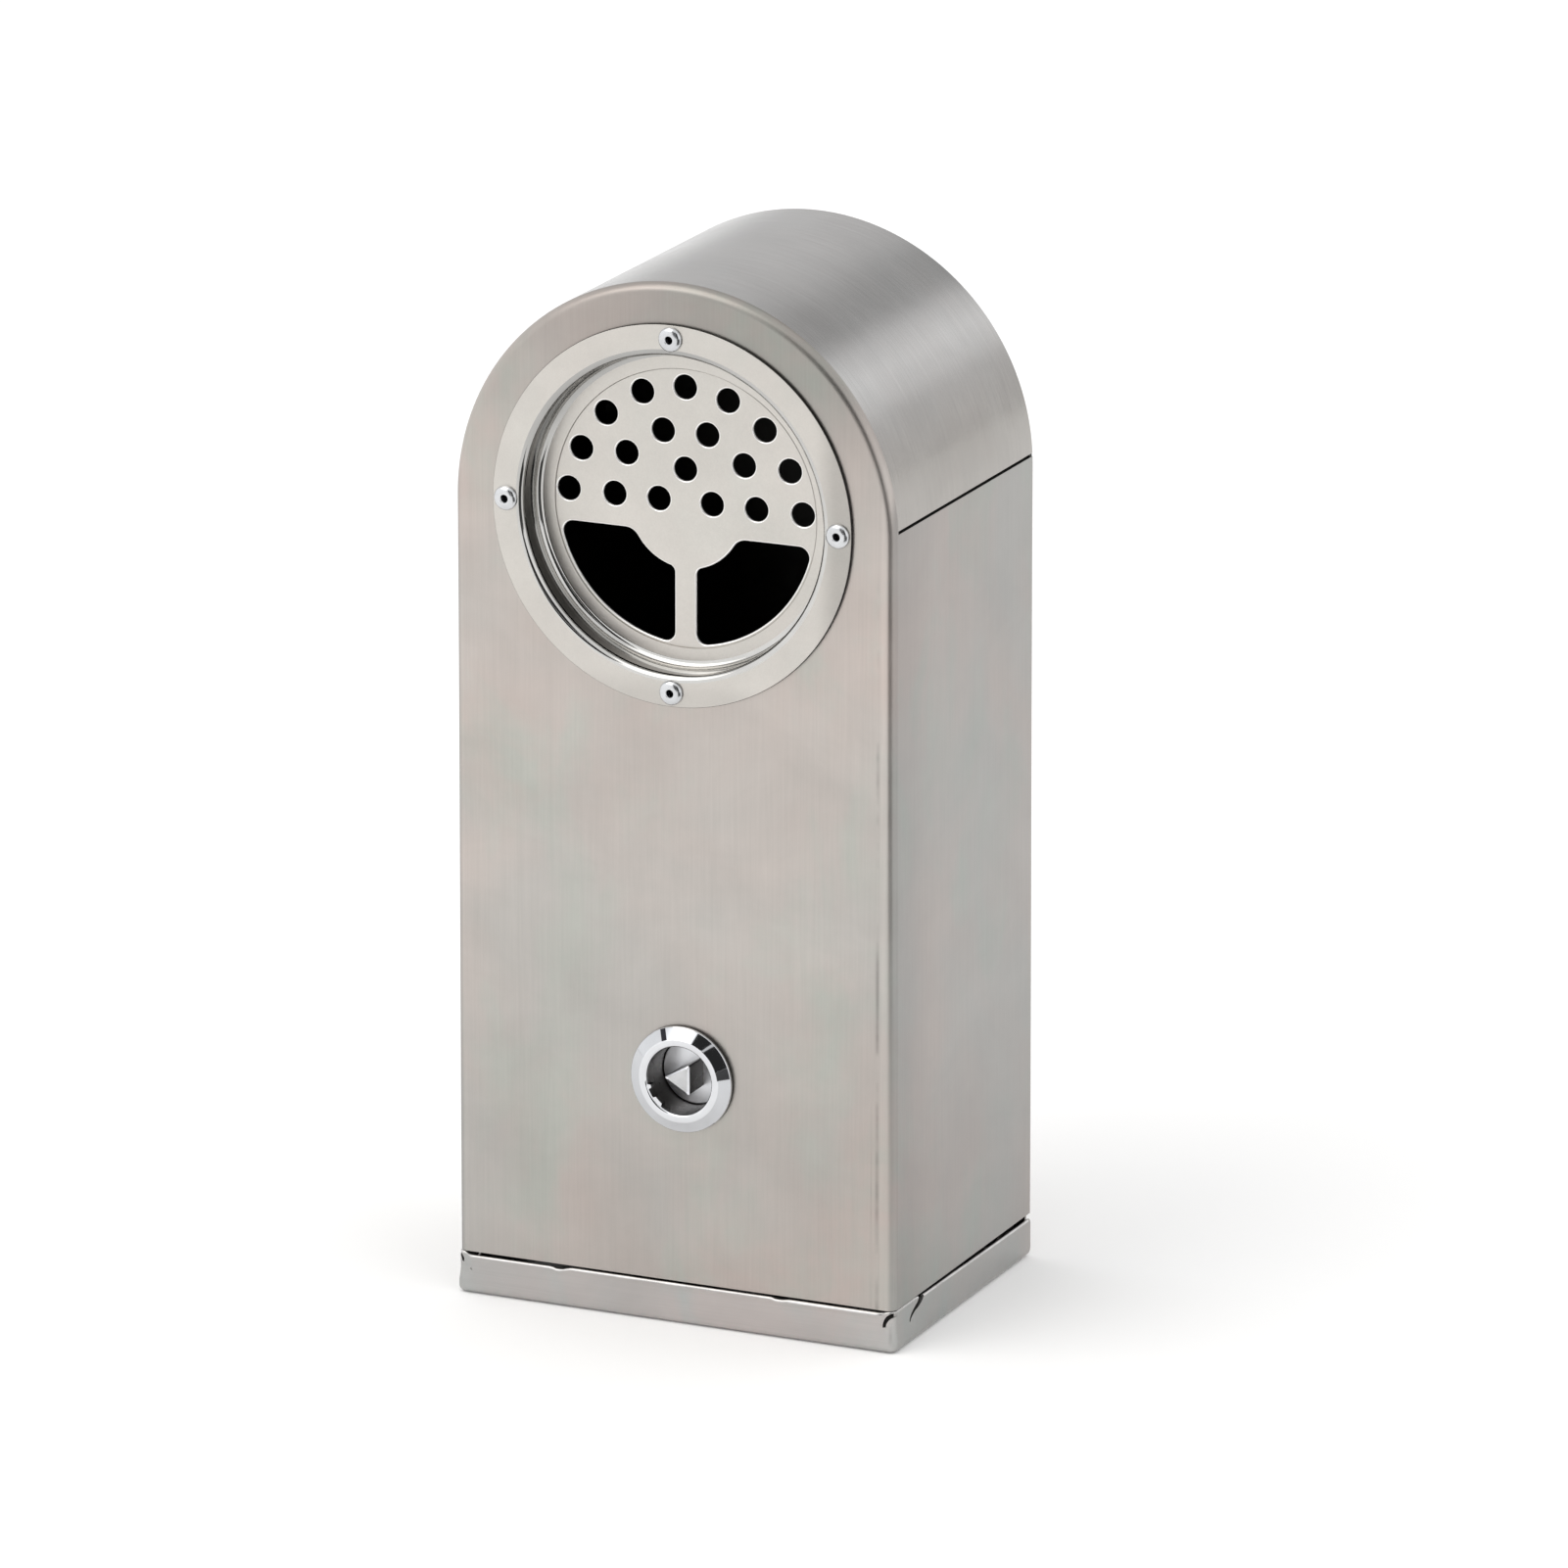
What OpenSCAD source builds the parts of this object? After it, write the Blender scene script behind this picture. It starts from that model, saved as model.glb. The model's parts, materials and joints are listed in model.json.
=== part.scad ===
// Wall-mounted ashtray bin: a folded stainless steel casing with an arched hood, a pressed
// stub-out dish riveted in its front, and a locked trap pan hinged along the rear of its base.
// X is the width, the front faces -Y, Z is up. The origin is under the middle of the base.

/* [Body] */
// Width over the side walls
body_w = 120; // [116:1:136]
// Depth from the front panel to the back plate
body_d = 86; // [84:1:100]
// Height of the hood's axis
arch_z = 208; // [200:1:240]
// Outside radius of the hood
arch_r = 59.5; // [59:0.1:60]
// Height of the seam between the side walls and the hood, over the hood's axis
seam_rise = 2.5; // [2:0.1:5]
// Thickness of the sheet steel
sheet_t = 1; // [0.8:0.1:1.2]
// Outside radius of the folds between the front panel and the side walls
fold_r = 2.5; // [2:0.1:4]
// Gap left between the side walls and the hood
seam_gap = 0.8; // [0.4:0.1:1.2]

/* [Trap pan] */
// Height of the pan over its lips
pan_h = 10.4; // [9.5:0.1:12]
// Gap between the pan's lips and the walls above them
pan_gap = 0.6; // [0.5:0.1:1]
// How far the pan stands out past the walls
pan_proud = 0.5; // [0:0.1:1]
// Outside radius of the pan's bottom folds
pan_fold_r = 1.5; // [1.2:0.1:2]

/* [Dish] */
// Height of the dish's axis
dish_z = 209; // [205:0.5:210]
// Outside diameter of the dish's flange
dish_d = 97; // [96:0.5:100]
// Radius of the dish's wall
dish_wall_r = 40.4; // [40:0.1:41]
// Depth of the perforated plate behind the flange
dish_depth = 8.5; // [6:0.1:10]
// Radius of the dish's two bends, on the front side
dish_bend_r = 1.8; // [1.5:0.1:2.2]
// Diameter of the stub-out holes
stub_hole_d = 6.1; // [5:0.1:6.5]
// Pitch circle of the four dish rivets
rivet_pcd = 89.7; // [89:0.1:90.5]
// Diameter of the rivets' shanks
rivet_d = 3.2; // [3:0.1:3.2]
// Diameter of the rivets' heads
rivet_head_d = 6.5; // [6:0.1:6.8]

/* [Lock] */
// How far the lock's axis lies to the right of the middle
lock_x = 2.5; // [-3:0.5:3]
// Height of the lock's axis
lock_z = 64.5; // [62:0.5:68]
// Diameter of the lock's bezel
bezel_d = 27.5; // [27:0.5:30]
// How far the bezel stands out from the front panel
bezel_proud = 3; // [2.5:0.1:4]
// Diameter of the lock's threaded barrel
barrel_d = 22; // [21:0.5:22]
// Distance from the middle of the triangular key stud to its corners
stud_r = 4.3; // [3.5:0.1:4.6]
// Reach of the hook cam from the lock's axis
cam_reach = 40; // [38:0.5:41]

/* [Hinge] */
// Length of the hinge
hinge_l = 112; // [90:1:114]
// Number of knuckles, an odd number
knuckles = 9; // [5:2:11]
// Diameter of the hinge pin
pin_d = 2; // [1.6:0.1:2.2]

/* [Wall fixing] */
// Spacing of the wall screw holes across the back plate
wall_dx = 35; // [30:1:40]
// Spacing of the wall screw holes up the back plate
wall_dz = 150; // [140:1:155]
// Height of the middle of the wall screw holes
wall_z = 107.5; // [105:0.5:112]
// Diameter of the wall screw holes
wall_hole_d = 5.5; // [4.5:0.5:6.5]

/* [Hidden] */
$fn = 96;

// Body
half_w = body_w / 2;
y_front = bezel_proud - (body_d + bezel_proud) / 2;
y_back = y_front + body_d;
wall_bottom = pan_h + pan_gap;
side_top = arch_z + seam_rise - seam_gap / 2;
hood_bottom = side_top + seam_gap;
inner_half_w = half_w - sheet_t;

// Tongues of the hood, which close the seams from inside the walls
tongue_gap = 0.6;
tongue_low = side_top - 8;
tongue_high = hood_bottom + 5;

// Overrun of cutting shapes, and clearance of holes round what they hold
cut = 1;
hole_clear = 0.1;

// Hinge line, set so that the open pan stays in front of the wall
knuckle_r = 2;
knuckle_gap = 0.3;
knuckle_l = hinge_l / knuckles;
leaf_t = 1;
leaf_h = 15;
pin_clear = 0.03;
pin_head_r = 1.7;
pin_head_t = 1;
hinge_in = 3.4;
hinge_y = y_back - hinge_in;
hinge_z = sheet_t + knuckle_r + knuckle_gap;
floor_back = hinge_y - knuckle_gap;
floor_notch = 0.3;
back_over_hinge = 1.2;
back_bottom = hinge_z + back_over_hinge;

// Pan
pan_half_w = half_w + pan_proud;
pan_front = y_front - pan_proud;
lip_short = 0.8;
lip_back = y_back - lip_short;
lip_top_r = 1.5;
lip_low_r = 2;

// Dish, measured back from the front of its flange
dish_r = dish_d / 2;
dish_front = y_front - sheet_t;
dish_bend_c = dish_wall_r + dish_bend_r;
dish_flat_r = dish_wall_r - dish_bend_r;
dish_hole_r = dish_bend_c + hole_clear;
arc_steps = 8;

// Stub-out holes: three arcs above the middle and a row across it
outer_arc_r = 30.9;
outer_arc_step = 22;
inner_arc_r = 20.3;
inner_arc_angles = [17.2, 51.4];
top_hole_z = 10.1;
row_z = 1.9;
row_x = [7.2, 19.2, 31.7];

// The two drop openings, between the hub, the stem and the rim
drop_out_r = 34.6;
drop_hub_r = 15.4;
drop_top = 6.4;
drop_stem = 3;
drop_top_fillet = 2.7;
drop_low_fillet = 2.5;
drop_stem_fillet = 1.8;
drop_hub_fillet = 4;

// Rivets
rivet_head_h = 1.3;
rivet_tail_r = 2.4;
rivet_tail_l = 4;
rivet_bore_r = 0.95;
rivet_edge = 0.3;
rivet_clear = 0.05;
rivet_hole_r = rivet_d / 2 + rivet_clear;
stem_r = 0.9;
stem_sunk = 0.4;
stem_head_r = 1.5;
stem_head_l = 1.2;

// Lock, measured back from the front of its bezel
lock_front = y_front - bezel_proud;
gasket_t = 0.8;
gasket_inset = 0.4;
bezel_r = bezel_d / 2;
bezel_face_r = 11.2;
bezel_edge = 1;
bezel_chamfer = 0.3;
barrel_r = barrel_d / 2;
barrel_flat = 10;
barrel_l = 22;
barrel_end = bezel_proud + barrel_l;
thread_fit = 0.02;
bore_r = 8.8;
plug_face = 10;
plug_step = 16;
shaft_r = 5.5;
lock_fit = 0.05;
stud_front = 1.2;
o_ring_r = 0.85;
o_ring_at = 13;
o_ring_mid_r = 7.88;
tang_w = 7;
cam_t = 3;
cam_hub_r = 9;
cam_arm_w = 10;
hook_t = 6;
hook_in_r = cam_reach - hook_t;
hook_angle = 26;
heel_angle = 8;
washer_t = 1.2;
washer_r = 7;
washer_clear = 0.2;
screw_r = 3;
screw_depth = 10;
screw_short = 0.5;
screw_head_af = 10;
screw_head_t = 4;
nut_af = 27;
nut_t = 5;

// Catch bracket, which stands where the hook swings through its window
catch_aside = 12.5;
catch_x = lock_x - catch_aside;
catch_t = 1.5;
catch_in = 17.5;
catch_y = y_front + catch_in;
catch_d = 12;
catch_drop = 25.5;
catch_top = lock_z - catch_drop;
catch_foot = 17.5;
window_w = 7;
window_sill = 0.5;
window_low = lock_z - cam_reach + window_sill;
window_over = 3.5;
window_high = lock_z - hook_in_r + window_over;

function arc(c, r, a0, a1, n = arc_steps) =
    [for (i = [0:n]) let (a = a0 + (a1 - a0) * i / n) [c[0] + r * cos(a), c[1] + r * sin(a)]];
function bearing(p) = atan2(p[1], p[0]);

// Runs a flat X-Z shape back from y0 by t
module sheet_xz(y0, t) {
    translate([0, y0 + t, 0]) rotate([90, 0, 0]) linear_extrude(t) children();
}

// Runs a flat Y-Z shape from x0 to x1
module sheet_yz(x0, x1) {
    translate([x0, 0, 0]) rotate([90, 0, 90]) linear_extrude(x1 - x0) children();
}

// A cylinder along Y, from y0 to y1
module rod_y(x, z, r, y0, y1) {
    translate([x, y0, z]) rotate([-90, 0, 0]) cylinder(r = r, h = y1 - y0);
}

// Places a turned shape on the lock's axis, its own Z running back from the bezel
module on_lock(depth = 0) {
    translate([lock_x, lock_front + depth, lock_z]) rotate([-90, 0, 0]) children();
}

// Places a turned shape on the dish's axis, its own Z running back from the flange
module on_dish() {
    translate([0, dish_front, dish_z]) rotate([-90, 0, 0]) children();
}

module at_rivets() {
    for (a = [0:90:270])
        translate([rivet_pcd / 2 * cos(a), 0, dish_z + rivet_pcd / 2 * sin(a)]) children();
}

// The folded casing's section: the front panel and two side walls
module fold_section() {
    difference() {
        union() {
            translate([-half_w, y_front + fold_r]) square([body_w, body_d - fold_r]);
            translate([-half_w + fold_r, y_front]) square([body_w - 2 * fold_r, body_d]);
            for (s = [-1, 1]) translate([s * (half_w - fold_r), y_front + fold_r]) circle(r = fold_r);
        }
        translate([-inner_half_w, y_front + fold_r]) square([2 * inner_half_w, body_d]);
        translate([-half_w + fold_r, y_front + sheet_t]) square([body_w - 2 * fold_r, body_d]);
        for (s = [-1, 1])
            translate([s * (half_w - fold_r), y_front + fold_r]) circle(r = fold_r - sheet_t);
    }
}

// The front panel's arched top, whose rim is turned back with the same radius as the folds
module arched_front() {
    rim = arch_r - fold_r;
    intersection() {
        translate([0, y_front, arch_z]) rotate([-90, 0, 0]) rotate_extrude() polygon(concat(
            [[0, 0]],
            arc([rim, fold_r], fold_r, -90, 0),
            arc([rim, fold_r], fold_r - sheet_t, 0, -90),
            [[0, sheet_t]]
        ));
        translate([-half_w, y_front - cut, side_top]) cube([body_w, fold_r + 2 * cut, arch_r]);
    }
}

module front_and_sides() {
    color("silver") difference() {
        union() {
            translate([0, 0, wall_bottom]) linear_extrude(side_top - wall_bottom) fold_section();
            arched_front();
        }
        rod_y(0, dish_z, dish_hole_r, y_front - cut, y_front + sheet_t + cut);
        at_rivets() rod_y(0, 0, rivet_hole_r, y_front - cut, y_front + sheet_t + cut);
        intersection() {
            rod_y(lock_x, lock_z, barrel_r + hole_clear, y_front - cut, y_front + sheet_t + cut);
            translate([lock_x - barrel_flat - hole_clear, y_front - cut, lock_z - barrel_d])
                cube([2 * (barrel_flat + hole_clear), sheet_t + 2 * cut, 2 * barrel_d]);
        }
    }
}

// A bent sheet, with a tongue welded inside each lower edge
module arched_hood() {
    color("silver") {
        sheet_xz(y_front + fold_r, body_d - fold_r) difference() {
            translate([0, arch_z]) circle(r = arch_r);
            translate([0, arch_z]) circle(r = arch_r - sheet_t);
            translate([-half_w, arch_z - half_w]) square([body_w, half_w + hood_bottom - arch_z]);
        }
        for (s = [0, 1]) mirror([s, 0, 0])
            translate([inner_half_w - tongue_gap - sheet_t, y_front + fold_r, tongue_low])
                cube([sheet_t, body_d - fold_r - 2 * sheet_t, tongue_high - tongue_low]);
    }
}

module back_plate() {
    color("silver") difference() {
        sheet_xz(y_back - sheet_t, sheet_t) {
            translate([-inner_half_w, back_bottom]) square([2 * inner_half_w, side_top - back_bottom]);
            intersection() {
                translate([0, arch_z]) circle(r = arch_r - sheet_t);
                translate([-half_w, side_top - cut]) square([body_w, arch_r]);
            }
        }
        for (x = [-1, 1], z = [-1, 1])
            rod_y(x * wall_dx / 2, wall_z + z * wall_dz / 2, wall_hole_d / 2,
                y_back - sheet_t - cut, y_back + cut);
    }
}

// One drop opening, on the right of the stem
module drop_opening_2d() {
    top = [sqrt(pow(drop_out_r - drop_top_fillet, 2) - pow(drop_top + drop_top_fillet, 2)),
        -drop_top - drop_top_fillet];
    low = [drop_stem + drop_low_fillet,
        -sqrt(pow(drop_out_r - drop_low_fillet, 2) - pow(drop_stem + drop_low_fillet, 2))];
    stem = [drop_stem + drop_stem_fillet,
        -sqrt(pow(drop_hub_r + drop_stem_fillet, 2) - pow(drop_stem + drop_stem_fillet, 2))];
    hub = [sqrt(pow(drop_hub_r + drop_hub_fillet, 2) - pow(drop_top + drop_hub_fillet, 2)),
        -drop_top - drop_hub_fillet];
    polygon(concat(
        arc(top, drop_top_fillet, 90, bearing(top)),
        arc([0, 0], drop_out_r, bearing(top), bearing(low), 2 * arc_steps),
        arc(low, drop_low_fillet, bearing(low), -180),
        arc(stem, drop_stem_fillet, 180, bearing(stem) + 180),
        arc([0, 0], drop_hub_r, bearing(stem), bearing(hub)),
        arc(hub, drop_hub_fillet, bearing(hub) + 180, 90)
    ));
}

module stub_hole(x, z) {
    rod_y(x, dish_z + z, stub_hole_d / 2, dish_front, dish_front + dish_depth + sheet_t + cut);
}

module stub_holes() {
    for (k = [-3:3])
        stub_hole(outer_arc_r * sin(k * outer_arc_step), outer_arc_r * cos(k * outer_arc_step));
    for (s = [-1, 1], a = inner_arc_angles) stub_hole(s * inner_arc_r * sin(a), inner_arc_r * cos(a));
    stub_hole(0, top_hole_z);
    for (s = [-1, 1], x = row_x) stub_hole(s * x, row_z);
}

module ash_dish() {
    color("gainsboro") difference() {
        on_dish() rotate_extrude() polygon(concat(
            [[dish_r, 0]],
            arc([dish_bend_c, dish_bend_r], dish_bend_r, -90, -180),
            arc([dish_flat_r, dish_depth - dish_bend_r], dish_bend_r, 0, 90),
            [[0, dish_depth], [0, dish_depth + sheet_t]],
            arc([dish_flat_r, dish_depth - dish_bend_r], dish_bend_r + sheet_t, 90, 0),
            arc([dish_bend_c, dish_bend_r], dish_bend_r - sheet_t, -180, -90),
            [[dish_r, sheet_t]]
        ));
        stub_holes();
        for (s = [0, 1]) mirror([s, 0, 0])
            translate([0, 0, dish_z]) sheet_xz(dish_front + dish_depth - cut, sheet_t + 2 * cut)
                drop_opening_2d();
        at_rivets() rod_y(0, 0, rivet_hole_r, dish_front - cut, y_front + cut);
    }
}

// A set blind rivet: domed head, shank and the tail swollen behind the panel
module dish_rivets() {
    tail = 2 * sheet_t;
    color("lightgray") at_rivets() translate([0, dish_front, 0]) rotate([-90, 0, 0])
        rotate_extrude() polygon(concat(
            [[rivet_bore_r, rivet_edge - rivet_head_h], [rivet_bore_r + rivet_edge, -rivet_head_h]],
            arc([rivet_head_d / 2 - rivet_head_h, -rivet_edge], rivet_head_h - rivet_edge, -80, 0),
            [[rivet_head_d / 2 - rivet_edge, 0], [rivet_d / 2, 0], [rivet_d / 2, tail]],
            arc([rivet_bore_r + rivet_edge, tail + rivet_tail_l / 2], rivet_tail_r - rivet_bore_r, -70, 70),
            [[rivet_bore_r, tail + rivet_tail_l]]
        ));
}

// What is left of each rivet's pulled stem
module rivet_stems() {
    tail = 2 * sheet_t + rivet_tail_l;
    color("gray") at_rivets() {
        rod_y(0, 0, stem_r, dish_front + stem_sunk, dish_front + tail);
        rod_y(0, 0, stem_head_r, dish_front + tail, dish_front + tail + stem_head_l);
    }
}

module lock_housing() {
    color("lightsteelblue") intersection() {
        on_lock() rotate_extrude() polygon([
            [bore_r + bezel_chamfer, 0], [bezel_face_r, 0],
            [bezel_r - bezel_chamfer, bezel_edge], [bezel_r, bezel_edge + bezel_chamfer],
            [bezel_r, bezel_proud - gasket_t], [barrel_r, bezel_proud - gasket_t],
            [barrel_r, barrel_end], [shaft_r + lock_fit, barrel_end], [shaft_r + lock_fit, plug_step],
            [bore_r, plug_step], [bore_r, bezel_chamfer]
        ]);
        union() {
            translate([lock_x - barrel_flat, lock_front, lock_z - bezel_d])
                cube([2 * barrel_flat, barrel_end + cut, 2 * bezel_d]);
            translate([lock_x - bezel_d, lock_front - cut, lock_z - bezel_d])
                cube([2 * bezel_d, bezel_proud - gasket_t + cut, 2 * bezel_d]);
        }
    }
}

module lock_gasket() {
    color("dimgray") difference() {
        rod_y(lock_x, lock_z, bezel_r - gasket_inset, y_front - gasket_t, y_front);
        rod_y(lock_x, lock_z, barrel_r + hole_clear, y_front - gasket_t - cut, y_front + cut);
    }
}

module lock_nut() {
    depth = bezel_proud + sheet_t;
    color("silver") difference() {
        on_lock(depth) rotate([0, 0, 30]) cylinder(d = nut_af / cos(30), h = nut_t, $fn = 6);
        on_lock(depth - cut) cylinder(r = barrel_r + thread_fit, h = nut_t + 2 * cut);
    }
}

// The turning plug: a disc with the key stud in front, and a shaft with a square tang behind
module lock_plug() {
    color("silver") difference() {
        union() {
            on_lock(stud_front) rotate([0, 0, 180])
                cylinder(r = stud_r, h = plug_face - stud_front + cut, $fn = 3);
            on_lock(plug_face) cylinder(r = bore_r - lock_fit, h = plug_step - plug_face - lock_fit);
            on_lock(plug_step - cut) cylinder(r = shaft_r, h = barrel_end - plug_step + cut + lock_fit);
            on_lock(barrel_end) translate([-tang_w / 2, -tang_w / 2, 0])
                cube([tang_w, tang_w, cam_t]);
        }
        on_lock(o_ring_at - o_ring_r - lock_fit) difference() {
            cylinder(r = bore_r + cut, h = 2 * (o_ring_r + lock_fit));
            translate([0, 0, -cut])
                cylinder(r = o_ring_mid_r - o_ring_r, h = 2 * o_ring_r + 2 * cut);
        }
        on_lock(barrel_end + cam_t - screw_depth) cylinder(r = screw_r, h = screw_depth + cut);
    }
}

module plug_o_ring() {
    color("black") on_lock(o_ring_at) rotate_extrude()
        translate([o_ring_mid_r, 0]) circle(r = o_ring_r, $fn = 32);
}

// The cam points to +X when unlocked, and its hook leads as the lock turns
module hook_cam() {
    color("darkgray") translate([lock_x, 0, lock_z]) sheet_xz(lock_front + barrel_end + lock_fit, cam_t)
        difference() {
            union() {
                circle(r = cam_hub_r);
                translate([0, -cam_arm_w / 2]) square([hook_in_r + cut, cam_arm_w]);
                intersection() {
                    difference() {
                        circle(r = cam_reach);
                        circle(r = hook_in_r);
                    }
                    polygon([
                        [0, 0], [2 * cam_reach, 2 * cam_reach * tan(heel_angle)],
                        [2 * cam_reach, -2 * cam_reach * tan(hook_angle)]
                    ]);
                }
            }
            square(tang_w + 2 * lock_fit, center = true);
        }
}

module cam_washer() {
    color("silver") difference() {
        on_lock(barrel_end + cam_t + lock_fit) cylinder(r = washer_r, h = washer_t);
        on_lock(barrel_end + cam_t - cut) cylinder(r = screw_r + washer_clear, h = washer_t + 3 * cut);
    }
}

module cam_screw() {
    head = barrel_end + cam_t + washer_t + lock_fit;
    color("silver") {
        on_lock(barrel_end + cam_t - screw_depth + screw_short)
            cylinder(r = screw_r - thread_fit, h = head - barrel_end - cam_t + screw_depth);
        on_lock(head) cylinder(d = screw_head_af / cos(30), h = screw_head_t, $fn = 6);
    }
}

// Knuckles of one leaf: every other one, starting with the given one
module knuckle_row(first) {
    for (i = [first:2:knuckles - 1])
        translate([-hinge_l / 2 + i * knuckle_l + knuckle_gap / 2, hinge_y, hinge_z]) rotate([0, 90, 0])
            cylinder(r = knuckle_r, h = knuckle_l - knuckle_gap);
}

module pin_bore() {
    translate([-hinge_l / 2 - cut, hinge_y, hinge_z]) rotate([0, 90, 0])
        cylinder(d = pin_d + 2 * pin_clear, h = hinge_l + 2 * cut);
}

module hinge_body_leaf() {
    color("gray") difference() {
        union() {
            knuckle_row(0);
            translate([-hinge_l / 2, y_back - sheet_t - leaf_t, hinge_z])
                cube([hinge_l, leaf_t, leaf_h]);
        }
        for (i = [1:2:knuckles - 1])
            translate([-hinge_l / 2 + i * knuckle_l - knuckle_gap / 2, hinge_y - knuckle_r, 0])
                cube([knuckle_l + knuckle_gap, 3 * knuckle_r, hinge_z + knuckle_r + knuckle_gap]);
        pin_bore();
    }
}

module hinge_trap_leaf() {
    color("gray") difference() {
        union() {
            knuckle_row(1);
            translate([-hinge_l / 2, hinge_y - leaf_h - knuckle_r, sheet_t])
                cube([hinge_l, leaf_h + knuckle_r, leaf_t]);
        }
        for (i = [0:2:knuckles - 1])
            translate([-hinge_l / 2 + i * knuckle_l - knuckle_gap / 2, hinge_y - knuckle_r - knuckle_gap, 0])
                cube([knuckle_l + knuckle_gap, 3 * knuckle_r, hinge_z + knuckle_r]);
        pin_bore();
    }
}

module hinge_pin() {
    color("silver") translate([0, hinge_y, hinge_z]) rotate([0, 90, 0]) {
        translate([0, 0, -hinge_l / 2]) cylinder(d = pin_d, h = hinge_l);
        for (s = [0, 1]) mirror([0, 0, s]) translate([0, 0, hinge_l / 2])
            cylinder(r = pin_head_r, h = pin_head_t);
    }
}

// The pan's outline seen from the side, with its lips' rear corners rounded off
module pan_side_2d() {
    r = pan_fold_r;
    difference() {
        union() {
            translate([pan_front + r, 0]) square([lip_back - pan_front - r, pan_h]);
            translate([pan_front, r]) square([r, pan_h - r]);
            translate([pan_front + r, r]) circle(r = r);
        }
        translate([lip_back - lip_top_r, pan_h - lip_top_r]) difference() {
            square(lip_top_r + cut);
            circle(r = lip_top_r);
        }
        translate([lip_back - lip_low_r, lip_low_r]) difference() {
            translate([0, -lip_low_r - cut]) square(lip_low_r + cut);
            circle(r = lip_low_r);
        }
    }
}

// The pan's section across, set in by t on the sheet's inside
module pan_cross_2d(t) {
    r = pan_fold_r - t;
    w = pan_half_w - t;
    translate([-w, t + r]) square([2 * w, pan_h]);
    translate([-w + r, t]) square([2 * (w - r), pan_h]);
    for (s = [-1, 1]) translate([s * (w - r), t + r]) circle(r = r);
}

module trap_pan() {
    lip_round = sheet_t / 2;
    color("silver") {
        difference() {
            intersection() {
                sheet_yz(-pan_half_w, pan_half_w) pan_side_2d();
                sheet_xz(pan_front, body_d + 2 * cut) pan_cross_2d(0);
            }
            intersection() {
                sheet_yz(-pan_half_w, pan_half_w) pan_inside_2d();
                sheet_xz(pan_front, body_d + 4 * cut) pan_cross_2d(sheet_t);
            }
            translate([-inner_half_w - floor_notch, floor_back, -cut])
                cube([2 * (inner_half_w + floor_notch), body_d, sheet_t + 2 * cut]);
            translate([-pan_half_w - cut, pan_front - cut, pan_h - lip_round])
                cube([body_w + 4 * cut, sheet_t + cut, pan_h]);
        }
        translate([-pan_half_w + pan_fold_r, pan_front + lip_round, pan_h - lip_round])
            rotate([0, 90, 0]) cylinder(r = lip_round, h = 2 * (pan_half_w - pan_fold_r));
    }
}

// The space inside the pan, seen from the side: open at the top and at the rear
module pan_inside_2d() {
    r = pan_fold_r - sheet_t;
    y = pan_front + sheet_t;
    translate([y + r, sheet_t]) square([body_d + 2 * cut, pan_h + cut]);
    translate([y, sheet_t + r]) square([r + cut, pan_h + cut]);
    translate([y + r, sheet_t + r]) circle(r = r);
}

module catch_bracket() {
    color("darkgray") difference() {
        union() {
            translate([catch_x, catch_y, sheet_t]) cube([catch_t, catch_d, catch_top - sheet_t]);
            translate([catch_x - catch_foot, catch_y, sheet_t]) cube([catch_foot + catch_t, catch_d, catch_t]);
        }
        translate([catch_x - cut, catch_y + (catch_d - window_w) / 2, window_low])
            cube([catch_t + 2 * cut, window_w, window_high - window_low]);
    }
}

front_and_sides();
arched_hood();
back_plate();
ash_dish();
dish_rivets();
rivet_stems();
lock_housing();
lock_gasket();
lock_nut();
lock_plug();
plug_o_ring();
hook_cam();
cam_washer();
cam_screw();
hinge_body_leaf();
hinge_pin();
hinge_trap_leaf();
trap_pan();
catch_bracket();
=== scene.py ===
import json
import math

import bmesh
import bpy
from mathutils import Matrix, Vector


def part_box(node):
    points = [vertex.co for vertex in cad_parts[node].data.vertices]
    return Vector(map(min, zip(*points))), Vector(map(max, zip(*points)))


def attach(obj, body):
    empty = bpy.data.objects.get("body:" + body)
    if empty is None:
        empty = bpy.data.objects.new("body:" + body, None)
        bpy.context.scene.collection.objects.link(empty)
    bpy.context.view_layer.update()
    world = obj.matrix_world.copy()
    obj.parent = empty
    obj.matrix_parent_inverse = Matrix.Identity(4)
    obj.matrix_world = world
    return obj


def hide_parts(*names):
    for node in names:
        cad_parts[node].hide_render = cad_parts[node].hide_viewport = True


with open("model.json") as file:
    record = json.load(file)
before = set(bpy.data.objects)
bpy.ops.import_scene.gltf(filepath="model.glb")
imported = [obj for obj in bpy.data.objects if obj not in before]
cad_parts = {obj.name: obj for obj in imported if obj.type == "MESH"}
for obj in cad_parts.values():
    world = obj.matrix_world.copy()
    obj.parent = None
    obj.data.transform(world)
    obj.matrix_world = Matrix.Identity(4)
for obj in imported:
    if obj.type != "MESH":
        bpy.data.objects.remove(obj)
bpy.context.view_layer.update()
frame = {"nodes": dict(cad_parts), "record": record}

# ---------------------------------------------------------------- sizes, in mm
MM = 0.001
SOFT_ANGLE = 32.0


def box_mm(node):
    """Lowest and highest corner of a CAD node, in mm."""
    low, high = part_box(node)
    return Vector(low) / MM, Vector(high) / MM


casing_low, casing_high = box_mm("front_and_sides")
hood_high = box_mm("arched_hood")[1]
back_low = box_mm("back_plate")[0]
dish_low, dish_high = box_mm("ash_dish")
pan_low, pan_high = box_mm("trap_pan")
bezel_low, bezel_high = box_mm("lock_housing")
trap_leaf_high = box_mm("hinge_trap_leaf")[1]

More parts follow.
